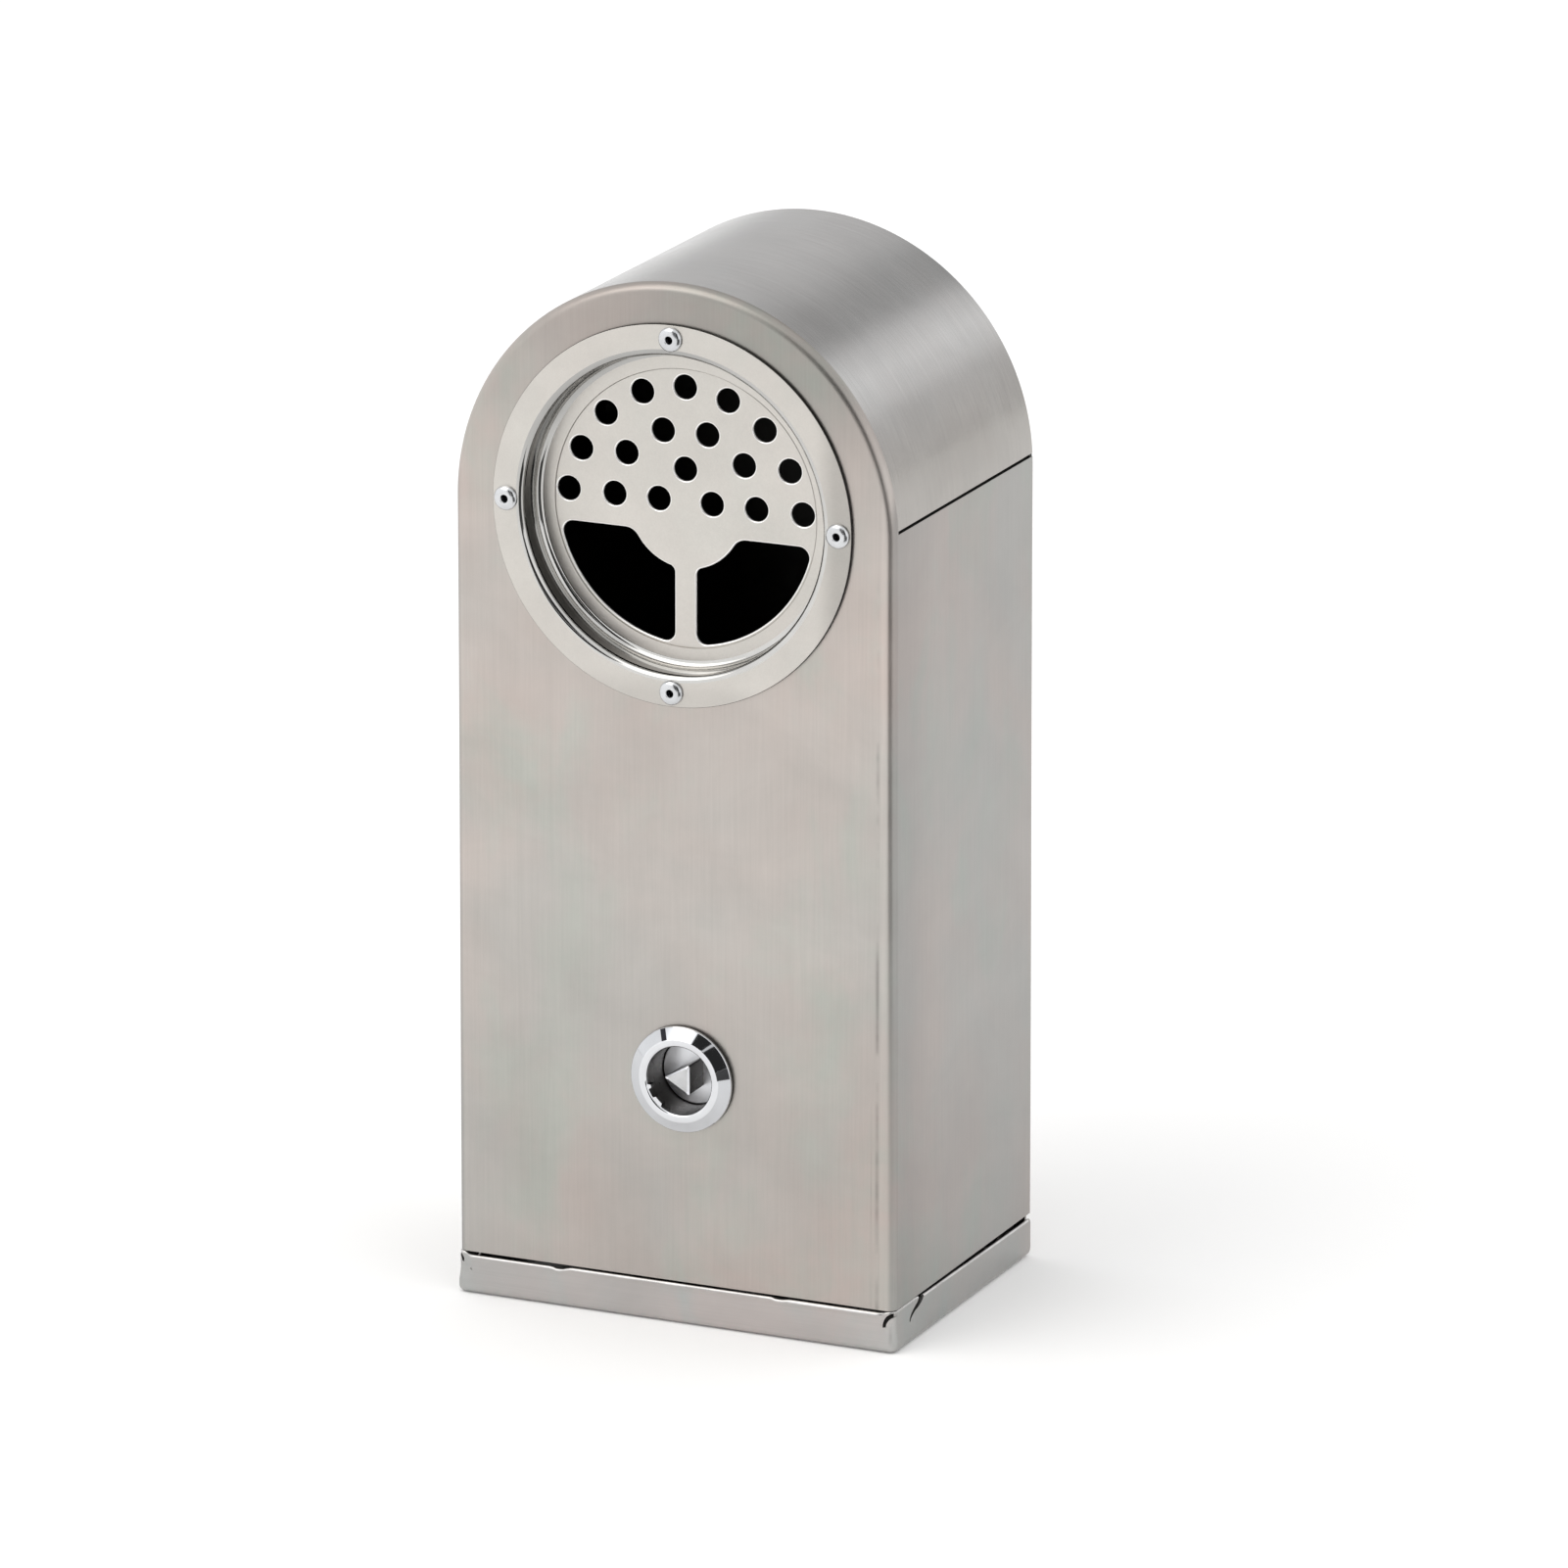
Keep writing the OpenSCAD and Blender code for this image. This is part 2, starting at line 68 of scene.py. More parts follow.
SHEET = 1.0
FOLD_R = 2.5
Y_FRONT = casing_low.y
Y_BACK = casing_high.y
HALF_W = casing_high.x
WALL_BOTTOM = casing_low.z
ARCH_R = 59.5
ARCH_Z = round(hood_high.z - ARCH_R, 0)
SEAM_RISE = 2.5
SEAM_GAP = 0.8
SIDE_TOP = ARCH_Z + SEAM_RISE - SEAM_GAP / 2
HOOD_BOTTOM = SIDE_TOP + SEAM_GAP
TONGUE_GAP = 0.6
TONGUE_LOW = SIDE_TOP - 8
TONGUE_HIGH = HOOD_BOTTOM + 5
DISH_Z = round((dish_low.z + dish_high.z) / 2, 1)
DISH_R = 48.5
DISH_FRONT = dish_low.y
DISH_WALL_R = 40.4
DISH_DEPTH = 8.5
DISH_BEND = 1.8
RIVET_RING = 89.7 / 2
RIVET_HOLE_R = 1.65
LOCK_X = round((bezel_low.x + bezel_high.x) / 2, 1)
LOCK_Z = round((bezel_low.z + bezel_high.z) / 2, 1)
LOCK_FRONT = bezel_low.y
BEZEL_R = 13.75
BORE_R = 8.8
LOCK_HOLE_R = 11.1


# ---------------------------------------------------------------- mesh helpers
def placed(name, data):
    """A new object in the scene that holds the given data."""
    obj = bpy.data.objects.new(name, data)
    bpy.context.scene.collection.objects.link(obj)
    return obj


def piece(name, verts, faces, sharp=SOFT_ANGLE):
    """A mesh object from points in mm, smooth except over edges sharper than the given angle."""
    mesh = bpy.data.meshes.new(name)
    mesh.from_pydata([tuple(c * MM for c in v) for v in verts], [], faces)
    work = bmesh.new()
    work.from_mesh(mesh)
    bmesh.ops.remove_doubles(work, verts=work.verts, dist=1e-7)
    bmesh.ops.recalc_face_normals(work, faces=work.faces)
    work.to_mesh(mesh)
    work.free()
    obj = placed(name, mesh)
    soften(obj, sharp)
    return obj


def soften(obj, sharp=SOFT_ANGLE):
    """Smooth shading, except over edges sharper than the given angle."""
    mesh = obj.data
    mesh.polygons.foreach_set("use_smooth", [True] * len(mesh.polygons))
    mesh.set_sharp_from_angle(angle=math.radians(sharp))


def bevel(obj, width, segments=2, angle=40.0):
    """Rounds an object's edges by a small width in mm and keeps its flat faces flat in shading."""
    mod = obj.modifiers.new("edge_round", "BEVEL")
    mod.width = width * MM
    mod.segments = segments
    mod.limit_method = "ANGLE"
    mod.angle_limit = math.radians(angle)
    mod.harden_normals = True
    flat_shading(obj, 60)


def flat_shading(obj, weight=50):
    """Lets an object's large faces decide the shading beside them."""
    weighted = obj.modifiers.new("flat_shading", "WEIGHTED_NORMAL")
    weighted.keep_sharp = True
    weighted.weight = weight


def carve(obj, cutters, sharp=SOFT_ANGLE):
    """Cuts the cutters out of an object for good, and removes them."""
    for cutter in cutters:
        mod = obj.modifiers.new("cut", "BOOLEAN")
        mod.operation = "DIFFERENCE"
        mod.solver = "EXACT"
        mod.object = cutter
    graph = bpy.context.evaluated_depsgraph_get()
    mesh = bpy.data.meshes.new_from_object(obj.evaluated_get(graph))
    obj.modifiers.clear()
    old = obj.data
    obj.data = mesh
    mesh.name = obj.name
    bpy.data.meshes.remove(old)
    for cutter in cutters:
        bpy.data.objects.remove(cutter)
    soften(obj, sharp)


def join(name, parts, sharp=SOFT_ANGLE):
    """Joins mesh objects into one, smooth except over edges sharper than the given angle."""
    verts, faces = [], []
    for part in parts:
        start = len(verts)
        verts += [tuple(c / MM for c in v.co) for v in part.data.vertices]
        faces += [tuple(start + i for i in p.vertices) for p in part.data.polygons]
        bpy.data.objects.remove(part)
    return piece(name, verts, faces, sharp)


def revolved(name, profile, x, y, z, segments=128, sharp=SOFT_ANGLE):
    """A closed profile of (radius, depth) turned about the +Y axis through (x, y, z)."""
    verts, faces = [], []
    count = len(profile)
    for s in range(segments):
        a = 2 * math.pi * s / segments
        for r, d in profile:
            verts.append((x + r * math.cos(a), y + d, z + r * math.sin(a)))
    for s in range(segments):
        t = (s + 1) % segments
        for i in range(count):
            j = (i + 1) % count
            faces.append((s * count + i, s * count + j, t * count + j, t * count + i))
    obj = piece(name, verts, faces, sharp)
    work = bmesh.new()
    work.from_mesh(obj.data)
    bmesh.ops.dissolve_degenerate(work, edges=work.edges, dist=1e-7)
    work.to_mesh(obj.data)
    work.free()
    soften(obj, sharp)
    return obj


def arc(cx, cy, r, a0, a1, steps=10):
    """Points on an arc, angles in degrees."""
    turn = [math.radians(a0 + (a1 - a0) * i / steps) for i in range(steps + 1)]
    return [(cx + r * math.cos(a), cy + r * math.sin(a)) for a in turn]


def bearing(point):
    """A point's direction from the origin, in degrees."""
    return math.degrees(math.atan2(point[1], point[0]))


def prism(name, ends):
    """A closed solid between two matching rings of points."""
    n = len(ends[0])
    faces = [tuple(range(n)), tuple(range(2 * n - 1, n - 1, -1))]
    faces += [(i, (i + 1) % n, n + (i + 1) % n, n + i) for i in range(n)]
    return piece(name, ends[0] + ends[1], faces)


def prism_y(name, outline, y0, y1):
    """A flat X-Z outline run from y0 to y1."""
    return prism(name, [[(x, y, z) for x, z in outline] for y in (y0, y1)])


def disc_y(name, x, z, r, y0, y1, segments=64):
    """A round plug about (x, z), run from y0 to y1."""
    outline = arc(x, z, r, 0, 360, segments)[:-1]
    return prism_y(name, outline, y0, y1)


def block(name, low, high):
    """A box between two corners."""
    x0, y0, z0 = low
    x1, y1, z1 = high
    return prism_y(name, [(x0, z0), (x1, z0), (x1, z1), (x0, z1)], y0, y1)


def second_material(obj, mat, test):
    """Gives a further material to the faces whose centre and normal, in mm, pass a test."""
    obj.data.materials.append(mat)
    index = len(obj.data.materials) - 1
    for face in obj.data.polygons:
        if test(face.center / MM, face.normal):
            face.material_index = index


def smooth(value, low, high):
    """Goes smoothly from 0 at low to 1 at high."""
    t = min(1.0, max(0.0, (value - low) / (high - low)))
    return t * t * (3 - 2 * t)


# ---------------------------------------------------------------- materials
def new_material(name):
    """A material with its node tree and its shader."""
    mat = bpy.data.materials.new(name)
    mat.use_nodes = True
    tree = mat.node_tree
    tree.nodes.clear()
    out = tree.nodes.new("ShaderNodeOutputMaterial")
    shader = tree.nodes.new("ShaderNodeBsdfPrincipled")
    tree.links.new(shader.outputs[0], out.inputs[0])
    return mat, tree, shader


def feed(tree, socket, value):
    """Gives a node's input a number, a colour or another node's output."""
    if isinstance(value, bpy.types.NodeSocket):
        tree.links.new(value, socket)
    elif isinstance(value, tuple):
        socket.default_value = value + (1.0,)
    else:
        socket.default_value = value


def configure(tree, node, values):
    """Feeds a node's inputs by name."""
    for name, value in values.items():
        feed(tree, node.inputs[name], value)


def calc(tree, operation, *values):
    """One step of arithmetic on values that are each a number or a socket."""
    node = tree.nodes.new("ShaderNodeMath")
    node.operation = operation
    for socket, value in zip(node.inputs, values):
        feed(tree, socket, value)
    return node.outputs[0]


def multiplied(tree, *values):
    """The product of values that are each a number or a socket."""
    product = values[0]
    for value in values[1:]:
        product = calc(tree, "MULTIPLY", product, value)
    return product


def axes(tree, source="Object"):
    """The X, Y and Z of a texture coordinate."""
    coord = tree.nodes.new("ShaderNodeTexCoord")
    split = tree.nodes.new("ShaderNodeSeparateXYZ")
    tree.links.new(coord.outputs[source], split.inputs[0])
    return split.outputs


def hood_place(tree):
    """Object coordinates unrolled from the hood: distance round the arch, then depth."""
    x, y, z = axes(tree)
    turn = calc(tree, "ARCTAN2", x, calc(tree, "SUBTRACT", z, ARCH_Z * MM))
    place = tree.nodes.new("ShaderNodeCombineXYZ")
    tree.links.new(multiplied(tree, turn, ARCH_R * MM), place.inputs["X"])
    tree.links.new(y, place.inputs["Y"])
    return place.outputs[0]


def noise(tree, scale, size, detail=4.0, rough=0.55, distort=0.0, place=None):
    """Noise in object space or another place, its scale given per axis, so that unequal values make grain."""
    if place is None:
        place = tree.nodes.new("ShaderNodeTexCoord").outputs["Object"]
    mapping = tree.nodes.new("ShaderNodeMapping")
    mapping.inputs["Scale"].default_value = scale
    tex = tree.nodes.new("ShaderNodeTexNoise")
    configure(tree, tex, {"Scale": size, "Detail": detail, "Roughness": rough, "Distortion": distort})
    tree.links.new(place, mapping.inputs["Vector"])
    tree.links.new(mapping.outputs[0], tex.inputs["Vector"])
    return tex.outputs["Fac"]


def spread(tree, value, low, high, to_low=0.0, to_high=1.0, kind="LINEAR"):
    """Maps the range between two limits of a value onto two others."""
    node = tree.nodes.new("ShaderNodeMapRange")
    node.interpolation_type = kind
    configure(tree, node, {"Value": value, "From Min": low, "From Max": high, "To Min": to_low, "To Max": to_high})
    return node.outputs[0]


def fade(tree, value, low, high, to_low=0.0, to_high=1.0):
    """Like spread, with a smooth start and end."""
    return spread(tree, value, low, high, to_low, to_high, "SMOOTHSTEP")


def between(tree, value, start, full, still_full, end):
    """1 between two levels of a value, fading to 0 beyond them."""
    return multiplied(tree, fade(tree, value, start, full), fade(tree, value, end, still_full))


def blend_colour(tree, factor, first, second, mode="MIX"):
    """Mixes two colours, each a tuple or a socket, by a factor that is a number or a socket."""
    node = tree.nodes.new("ShaderNodeMix")
    node.data_type = "RGBA"
    node.blend_type = mode
    for place, value in ((0, factor), (6, first), (7, second)):
        feed(tree, node.inputs[place], value)
    return node.outputs[2]


def place_mask(tree, axis, low, high, to_low=0.0, to_high=1.0, both_sides=False):
    """Goes smoothly from one level to another between two places along an axis, in mm."""
    value = axes(tree)[axis]
    if both_sides:
        value = calc(tree, "ABSOLUTE", value)
    return fade(tree, value, low * MM, high * MM, to_low, to_high)


def band(tree, axis, *places):
    """1 along part of an axis, fading out on both sides: four places in mm, in order."""
    return between(tree, axes(tree)[axis], *(place * MM for place in places))


def darkened(tree, mask, depth):
    """A factor that falls from 1 by the given depth where the mask is 1."""
    return calc(tree, "MULTIPLY_ADD", mask, -depth, 1.0)


# painted light and shade in the steel's colour, and two real scratches: places along an axis in mm, and how much
# darker it is there
ARCH_SHADE_Z, ARCH_SHADE_X, ARCH_SHADE = (205, 258), (-62, 15), 0.31
LOW_SHADE_Z, LOW_SHADE = (120, 40), 0.08
SIDE_X = {"axis": "X", "low": 57.8, "high": 59.3, "both_sides": True}
SIDE_SHADE_Z, SIDE_SHADE = (0, 190), 0.19
FOLD_SHADE_Y, FOLD_SHADE = (-14, -38), 0.12
# a painted highlight beside the right fold: a negative depth makes it lighter
FOLD_HIGHLIGHT_X, FOLD_HIGHLIGHT = (55.6, 56.4, 58.2, 59.0), -0.07
SCRATCHES = ((55.2, 0.8, 210, 0.34), (53.6, 0.4, 90, 0.14))    # x, half width, top, depth
SCRATCH_FADE = 50
# painted shade on the dish's flange, along its right and lower edges
FLANGE_Y = (-38, -40)
FLANGE_RIGHT_X, FLANGE_RIGHT_SHADE = (38, 45), 0.27
FLANGE_LOW_Z, FLANGE_LOW_SHADE = (DISH_Z - 40, DISH_Z - 46), 0.10
# painted shade on the dish's wall: over its upper half, and as a dark reflection in its left bend
WALL_UPPER_Z, WALL_UPPER_X, WALL_UPPER_SHADE = (DISH_Z - 20, DISH_Z + 30), (34, 2), 0.30
BEND_SHADE_Y = (DISH_FRONT + 0.5, DISH_FRONT + 1.6, DISH_FRONT + 3.6, DISH_FRONT + 6.4)
BEND_SHADE_X, BEND_SHADE = (20, -14), 0.62


def casing_shade_and_scratches(tree):
    """Painted shade on the arch, low down, on the side walls and beside the folds, a painted highlight beside the
    right fold, and two real scratches.
    """
    arch = multiplied(tree, place_mask(tree, "Z", *ARCH_SHADE_Z), place_mask(tree, "X", *ARCH_SHADE_X, 0.4, 1.0))
    side = place_mask(tree, **SIDE_X)
    # painted shade and a painted highlight first, then the real scratches
    areas = [
        (arch, ARCH_SHADE),
        (place_mask(tree, "Z", *LOW_SHADE_Z), LOW_SHADE),
        (multiplied(tree, side, place_mask(tree, "Z", *SIDE_SHADE_Z, 0.6, 1.0)), SIDE_SHADE),
        (multiplied(tree, side, place_mask(tree, "Y", *FOLD_SHADE_Y)), FOLD_SHADE),
        (band(tree, "X", *FOLD_HIGHLIGHT_X), FOLD_HIGHLIGHT),
    ]
    broken = spread(tree, noise(tree, (0.2, 0.2, 1.0), 60.0, 3.0), 0.42, 0.6)
    for x, half, top_z, depth in SCRATCHES:
        line = band(tree, "X", x - half, x, x, x + half)
        ending = place_mask(tree, "Z", top_z, top_z - SCRATCH_FADE)
        areas.append((multiplied(tree, line, ending, broken), depth))
    return multiplied(tree, *(darkened(tree, mask, depth) for mask, depth in areas))


def dish_flange_shade(tree):
    """Painted shade on the flange's right and lower edges."""
    flange = place_mask(tree, "Y", *FLANGE_Y)
    right = multiplied(tree, place_mask(tree, "X", *FLANGE_RIGHT_X), flange)
    lower = multiplied(tree, place_mask(tree, "Z", *FLANGE_LOW_Z), flange)
    return multiplied(tree, darkened(tree, right, FLANGE_RIGHT_SHADE), darkened(tree, lower, FLANGE_LOW_SHADE))


def wall_painted_shade(tree):
    """The dish's wall gets painted shade over its upper half, which faces down, and a dark painted reflection in
    its left bend.
    """
    upper = place_mask(tree, "Z", *WALL_UPPER_Z)
    upper = multiplied(tree, upper, place_mask(tree, "X", *WALL_UPPER_X, 0.3, 1.0))
    # a dark painted reflection in the wall's left bend
    bend_shade = multiplied(tree, band(tree, "Y", *BEND_SHADE_Y), place_mask(tree, "X", *BEND_SHADE_X))
    return multiplied(tree, darkened(tree, upper, WALL_UPPER_SHADE), darkened(tree, bend_shade, BEND_SHADE))


def grey_colour(tree, value):
    """A grey of the given level."""
    node = tree.nodes.new("ShaderNodeCombineColor")
    for i in range(3):
        tree.links.new(value, node.inputs[i])
    return node.outputs[0]


def add_bump(tree, shader, height, strength):
    """Fine relief, 0.1 mm deep at full strength."""
    relief = tree.nodes.new("ShaderNodeBump")
    configure(tree, relief, {"Height": height, "Strength": strength, "Distance": 0.1 * MM})
    tree.links.new(relief.outputs[0], shader.inputs["Normal"])


def brushed_steel(name, base, rough, grain, warm, cool, bump=0.05, line=0.05, blotch=0.6, unrolled=False,
                  shade_and_wear=None, light_cast=None):
    """Stainless sheet: fine grain lines along one axis, faint warm and cool stains, uneven gloss.

    The colour factor, where given, paints in shade and highlight, and the cast, where given, is a place_mask's
    arguments with the colour that the light casts there, painted in."""
    mat, tree, shader = new_material(name)
    place = hood_place(tree) if unrolled else None
    lines = noise(tree, grain, 2400.0, 3.0, 0.6, place=place)
    wide_lines = noise(tree, grain, 700.0, 3.0, 0.6, place=place)
    clouds = noise(tree, (1, 1, 0.8), 16.0, 3.0, 0.5, 0.5)
    stains = noise(tree, (1, 1, 0.6), 42.0, 4.0, 0.6, 0.4)
    worn = noise(tree, (1, 1, 1.3), 26.0, 5.0, 0.6, 0.3)
    colour = blend_colour(tree, multiplied(tree, spread(tree, clouds, 0.38, 0.62), blotch), base, warm)
    colour = blend_colour(tree, multiplied(tree, spread(tree, stains, 0.48, 0.68), blotch), colour, cool)
    # a colour cast that the light gives one part, painted in
    if light_cast:
        where, cast = light_cast
        tinted = blend_colour(tree, 1.0, colour, cast, "MULTIPLY")
        colour = blend_colour(tree, place_mask(tree, **where), colour, tinted)
    shade = spread(tree, lines, 0.3, 0.7, 1 - line, 1 + line)
    wide = spread(tree, wide_lines, 0.3, 0.7, 1 - 0.4 * line, 1 + 0.4 * line)
    patch = spread(tree, worn, 0.35, 0.65, 0.93, 1.05)
    grey = multiplied(tree, shade, wide, patch)
    # painted shade and highlight, where a factor is given
    if shade_and_wear:
        grey = multiplied(tree, grey, shade_and_wear(tree))
    colour = blend_colour(tree, 1.0, colour, grey_colour(tree, grey), "MULTIPLY")
    gloss = spread(tree, worn, 0.3, 0.7, rough - 0.03, rough + 0.04)
    configure(tree, shader, {"Base Color": colour, "Metallic": 1.0, "Roughness": gloss})
    add_bump(tree, shader, lines, bump)
    return mat


def plain_metal(name, base, rough, patch=0.06, relief_size=900.0, bump=0.03, shade_and_wear=None):
    """Small plated or cast metal parts: slight cloudiness in colour and gloss, and painted shade from the colour
    factor, where given.
    """
    mat, tree, shader = new_material(name)
    cloud = noise(tree, (1, 1, 1), 160.0, 3.0)
    fine = noise(tree, (1, 1, 1), relief_size, 3.0)
    dark = tuple(c * (1 - patch * 2) for c in base)
    light = tuple(min(1.0, c * (1 + patch)) for c in base)
    colour = blend_colour(tree, spread(tree, cloud, 0.35, 0.65), dark, light)
    # painted shade, where a factor is given
    if shade_and_wear:
        colour = blend_colour(tree, 1.0, colour, grey_colour(tree, shade_and_wear(tree)), "MULTIPLY")
    gloss = spread(tree, cloud, 0.3, 0.7, rough * 0.85, rough * 1.2)
    configure(tree, shader, {"Base Color": colour, "Metallic": 1.0, "Roughness": gloss})
    add_bump(tree, shader, fine, bump)
    return mat


def rubber(name):
    """Black rubber with slightly uneven colour and gloss."""
    mat, tree, shader = new_material(name)
    fine = noise(tree, (1, 1, 1), 1200.0, 3.0)
    colour = blend_colour(tree, spread(tree, fine, 0.3, 0.7), (0.018, 0.018, 0.019), (0.035, 0.034, 0.033))
    configure(tree, shader, {"Base Color": colour, "Roughness": spread(tree, fine, 0.3, 0.7, 0.55, 0.75)})
    return mat


UP_GRAIN = (1.0, 1.0, 0.02)
ALONG_GRAIN = (0.02, 1.0, 1.0)

# the side walls get a cooler painted cast: the light's tint there, painted in
steel_casing = brushed_steel(
    "steel_casing", (0.475, 0.455, 0.43), 0.36, UP_GRAIN, (0.51, 0.445, 0.412), (0.45, 0.463, 0.425),
    bump=0.035, line=0.026, blotch=0.85, shade_and_wear=casing_shade_and_scratches,
    light_cast=(SIDE_X, (0.95, 0.975, 0.995))
)
# the hood's lower part gets a warmer painted cast: the light's tint there, painted in
steel_hood = brushed_steel(
    "steel_hood", (0.40, 0.395, 0.39), 0.19, ALONG_GRAIN, (0.41, 0.395, 0.385), (0.395, 0.395, 0.39),
    bump=0.20, line=0.06, blotch=0.5, unrolled=True,
    light_cast=({"axis": "Z", "low": 246, "high": 222}, (0.97, 0.94, 0.90))
)
# painted shade: the pan's side lips are darker than its front
steel_pan = brushed_steel(
    "steel_pan", (0.465, 0.455, 0.445), 0.33, ALONG_GRAIN, (0.49, 0.45, 0.435), (0.44, 0.455, 0.445),
    line=0.03, blotch=0.9,
    light_cast=({"axis": "X", "low": 59.0, "high": 60.2, "both_sides": True}, (0.855, 0.865, 0.86))
)
steel_dish = brushed_steel(
    "steel_dish", (0.575, 0.555, 0.52), 0.32, (1, 1, 1), (0.595, 0.56, 0.525), (0.565, 0.555, 0.52),
    line=0.03, shade_and_wear=dish_flange_shade
)
steel_wall = plain_metal("steel_wall", (0.56, 0.555, 0.54), 0.08, patch=0.02, bump=0.02, shade_and_wear=wall_painted_shade)
# painted highlight: a near-white copy of the steel for the plate's hole and opening edges
steel_edge_highlight = plain_metal("steel_edge_highlight", (0.93, 0.92, 0.90), 0.34, patch=0.02)
# painted highlight: a lighter copy of the pan's steel for the top of its hem
steel_hem_highlight = plain_metal("steel_hem_highlight", (0.60, 0.59, 0.58), 0.30, patch=0.10)
# painted shade: near black for inner faces, hidden edges and gaps, where there is only shade
steel_inside_shade = plain_metal("steel_inside_shade", (0.06, 0.058, 0.055), 0.55, patch=0.12)
steel_plated = plain_metal("steel_plated", (0.42, 0.42, 0.41), 0.36)
steel_hinge = plain_metal("steel_hinge", (0.45, 0.44, 0.43), 0.34)
rivet_metal = plain_metal("rivet_metal", (0.62, 0.63, 0.645), 0.20)
# painted shade: near black for the rivet stems deep in their bores; it is also the index mark's own dark colour
dark_stem_shade_and_mark = plain_metal("dark_stem_shade_and_mark", (0.03, 0.03, 0.035), 0.5)
chrome = plain_metal("chrome", (0.70, 0.71, 0.73), 0.06, patch=0.02, bump=0.01)
# painted shade: a darker copy of the chrome for the bezel's cone
chrome_cone_shaded = plain_metal("chrome_cone_shaded", (0.56, 0.57, 0.59), 0.05, patch=0.02, bump=0.01)
# painted shade: a dark copy of the metal for the lock's deep bore and the stud's sides
bore_shade_metal = plain_metal("bore_shade_metal", (0.13, 0.125, 0.12), 0.28, patch=0.1)
# lit and shaded copies of the plug's zinc: forward faces painted light, the stud's front face painted darker than
# its chamfer
zinc = plain_metal("zinc", (0.50, 0.51, 0.52), 0.30)
zinc_stud_shaded = plain_metal("zinc_stud_shaded", (0.58, 0.585, 0.59), 0.35)
zinc_face_lit = plain_metal("zinc_face_lit", (0.86, 0.87, 0.90), 0.33)
seal_rubber = rubber("seal_rubber")


def finish_piece(obj, mat, body, slot, *nodes):
    """Gives a piece its material and its body, and hides the CAD nodes it stands for; slot is not used."""
    obj.data.materials.clear()
    obj.data.materials.append(mat)
    for face in obj.data.polygons:
        face.material_index = 0
    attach(obj, body)
    if nodes:
        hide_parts(*nodes)


def finish_cad(node, mat, width):
    """Keeps a CAD node, with a material and slightly rounded edges."""
    obj = frame["nodes"][node]
    obj.data.materials.clear()
    obj.data.materials.append(mat)
    bevel(obj, width)


# ---------------------------------------------------------------- casing
def wall_half(z):
    """The casing's half width at a height: the walls lean in slightly to meet the hood."""
    return HALF_W - (HALF_W - ARCH_R) * smooth(z, WALL_BOTTOM, ARCH_Z)


def casing_stations(arch_steps=96, straight_steps=12):
    """Places along the front panel's edge, from bottom left over the arch: (centre x, z, outward)."""
    rise = [WALL_BOTTOM + (ARCH_Z - WALL_BOTTOM) * i / straight_steps for i in range(straight_steps + 1)]
    seam = math.asin((SIDE_TOP - ARCH_Z) / ARCH_R)
    left = [((0.0, z), (-1.0, 0.0), wall_half(z), True) for z in rise]
    right = [((0.0, z), (1.0, 0.0), wall_half(z), True) for z in reversed(rise)]
    turn = [math.pi - seam - (math.pi - 2 * seam) * i / arch_steps for i in range(arch_steps + 1)]
    top = []
    for i, a in enumerate(turn):
        top.append(((0.0, ARCH_Z), (math.cos(a), math.sin(a)), ARCH_R, i in (0, arch_steps)))
    return left + top + right


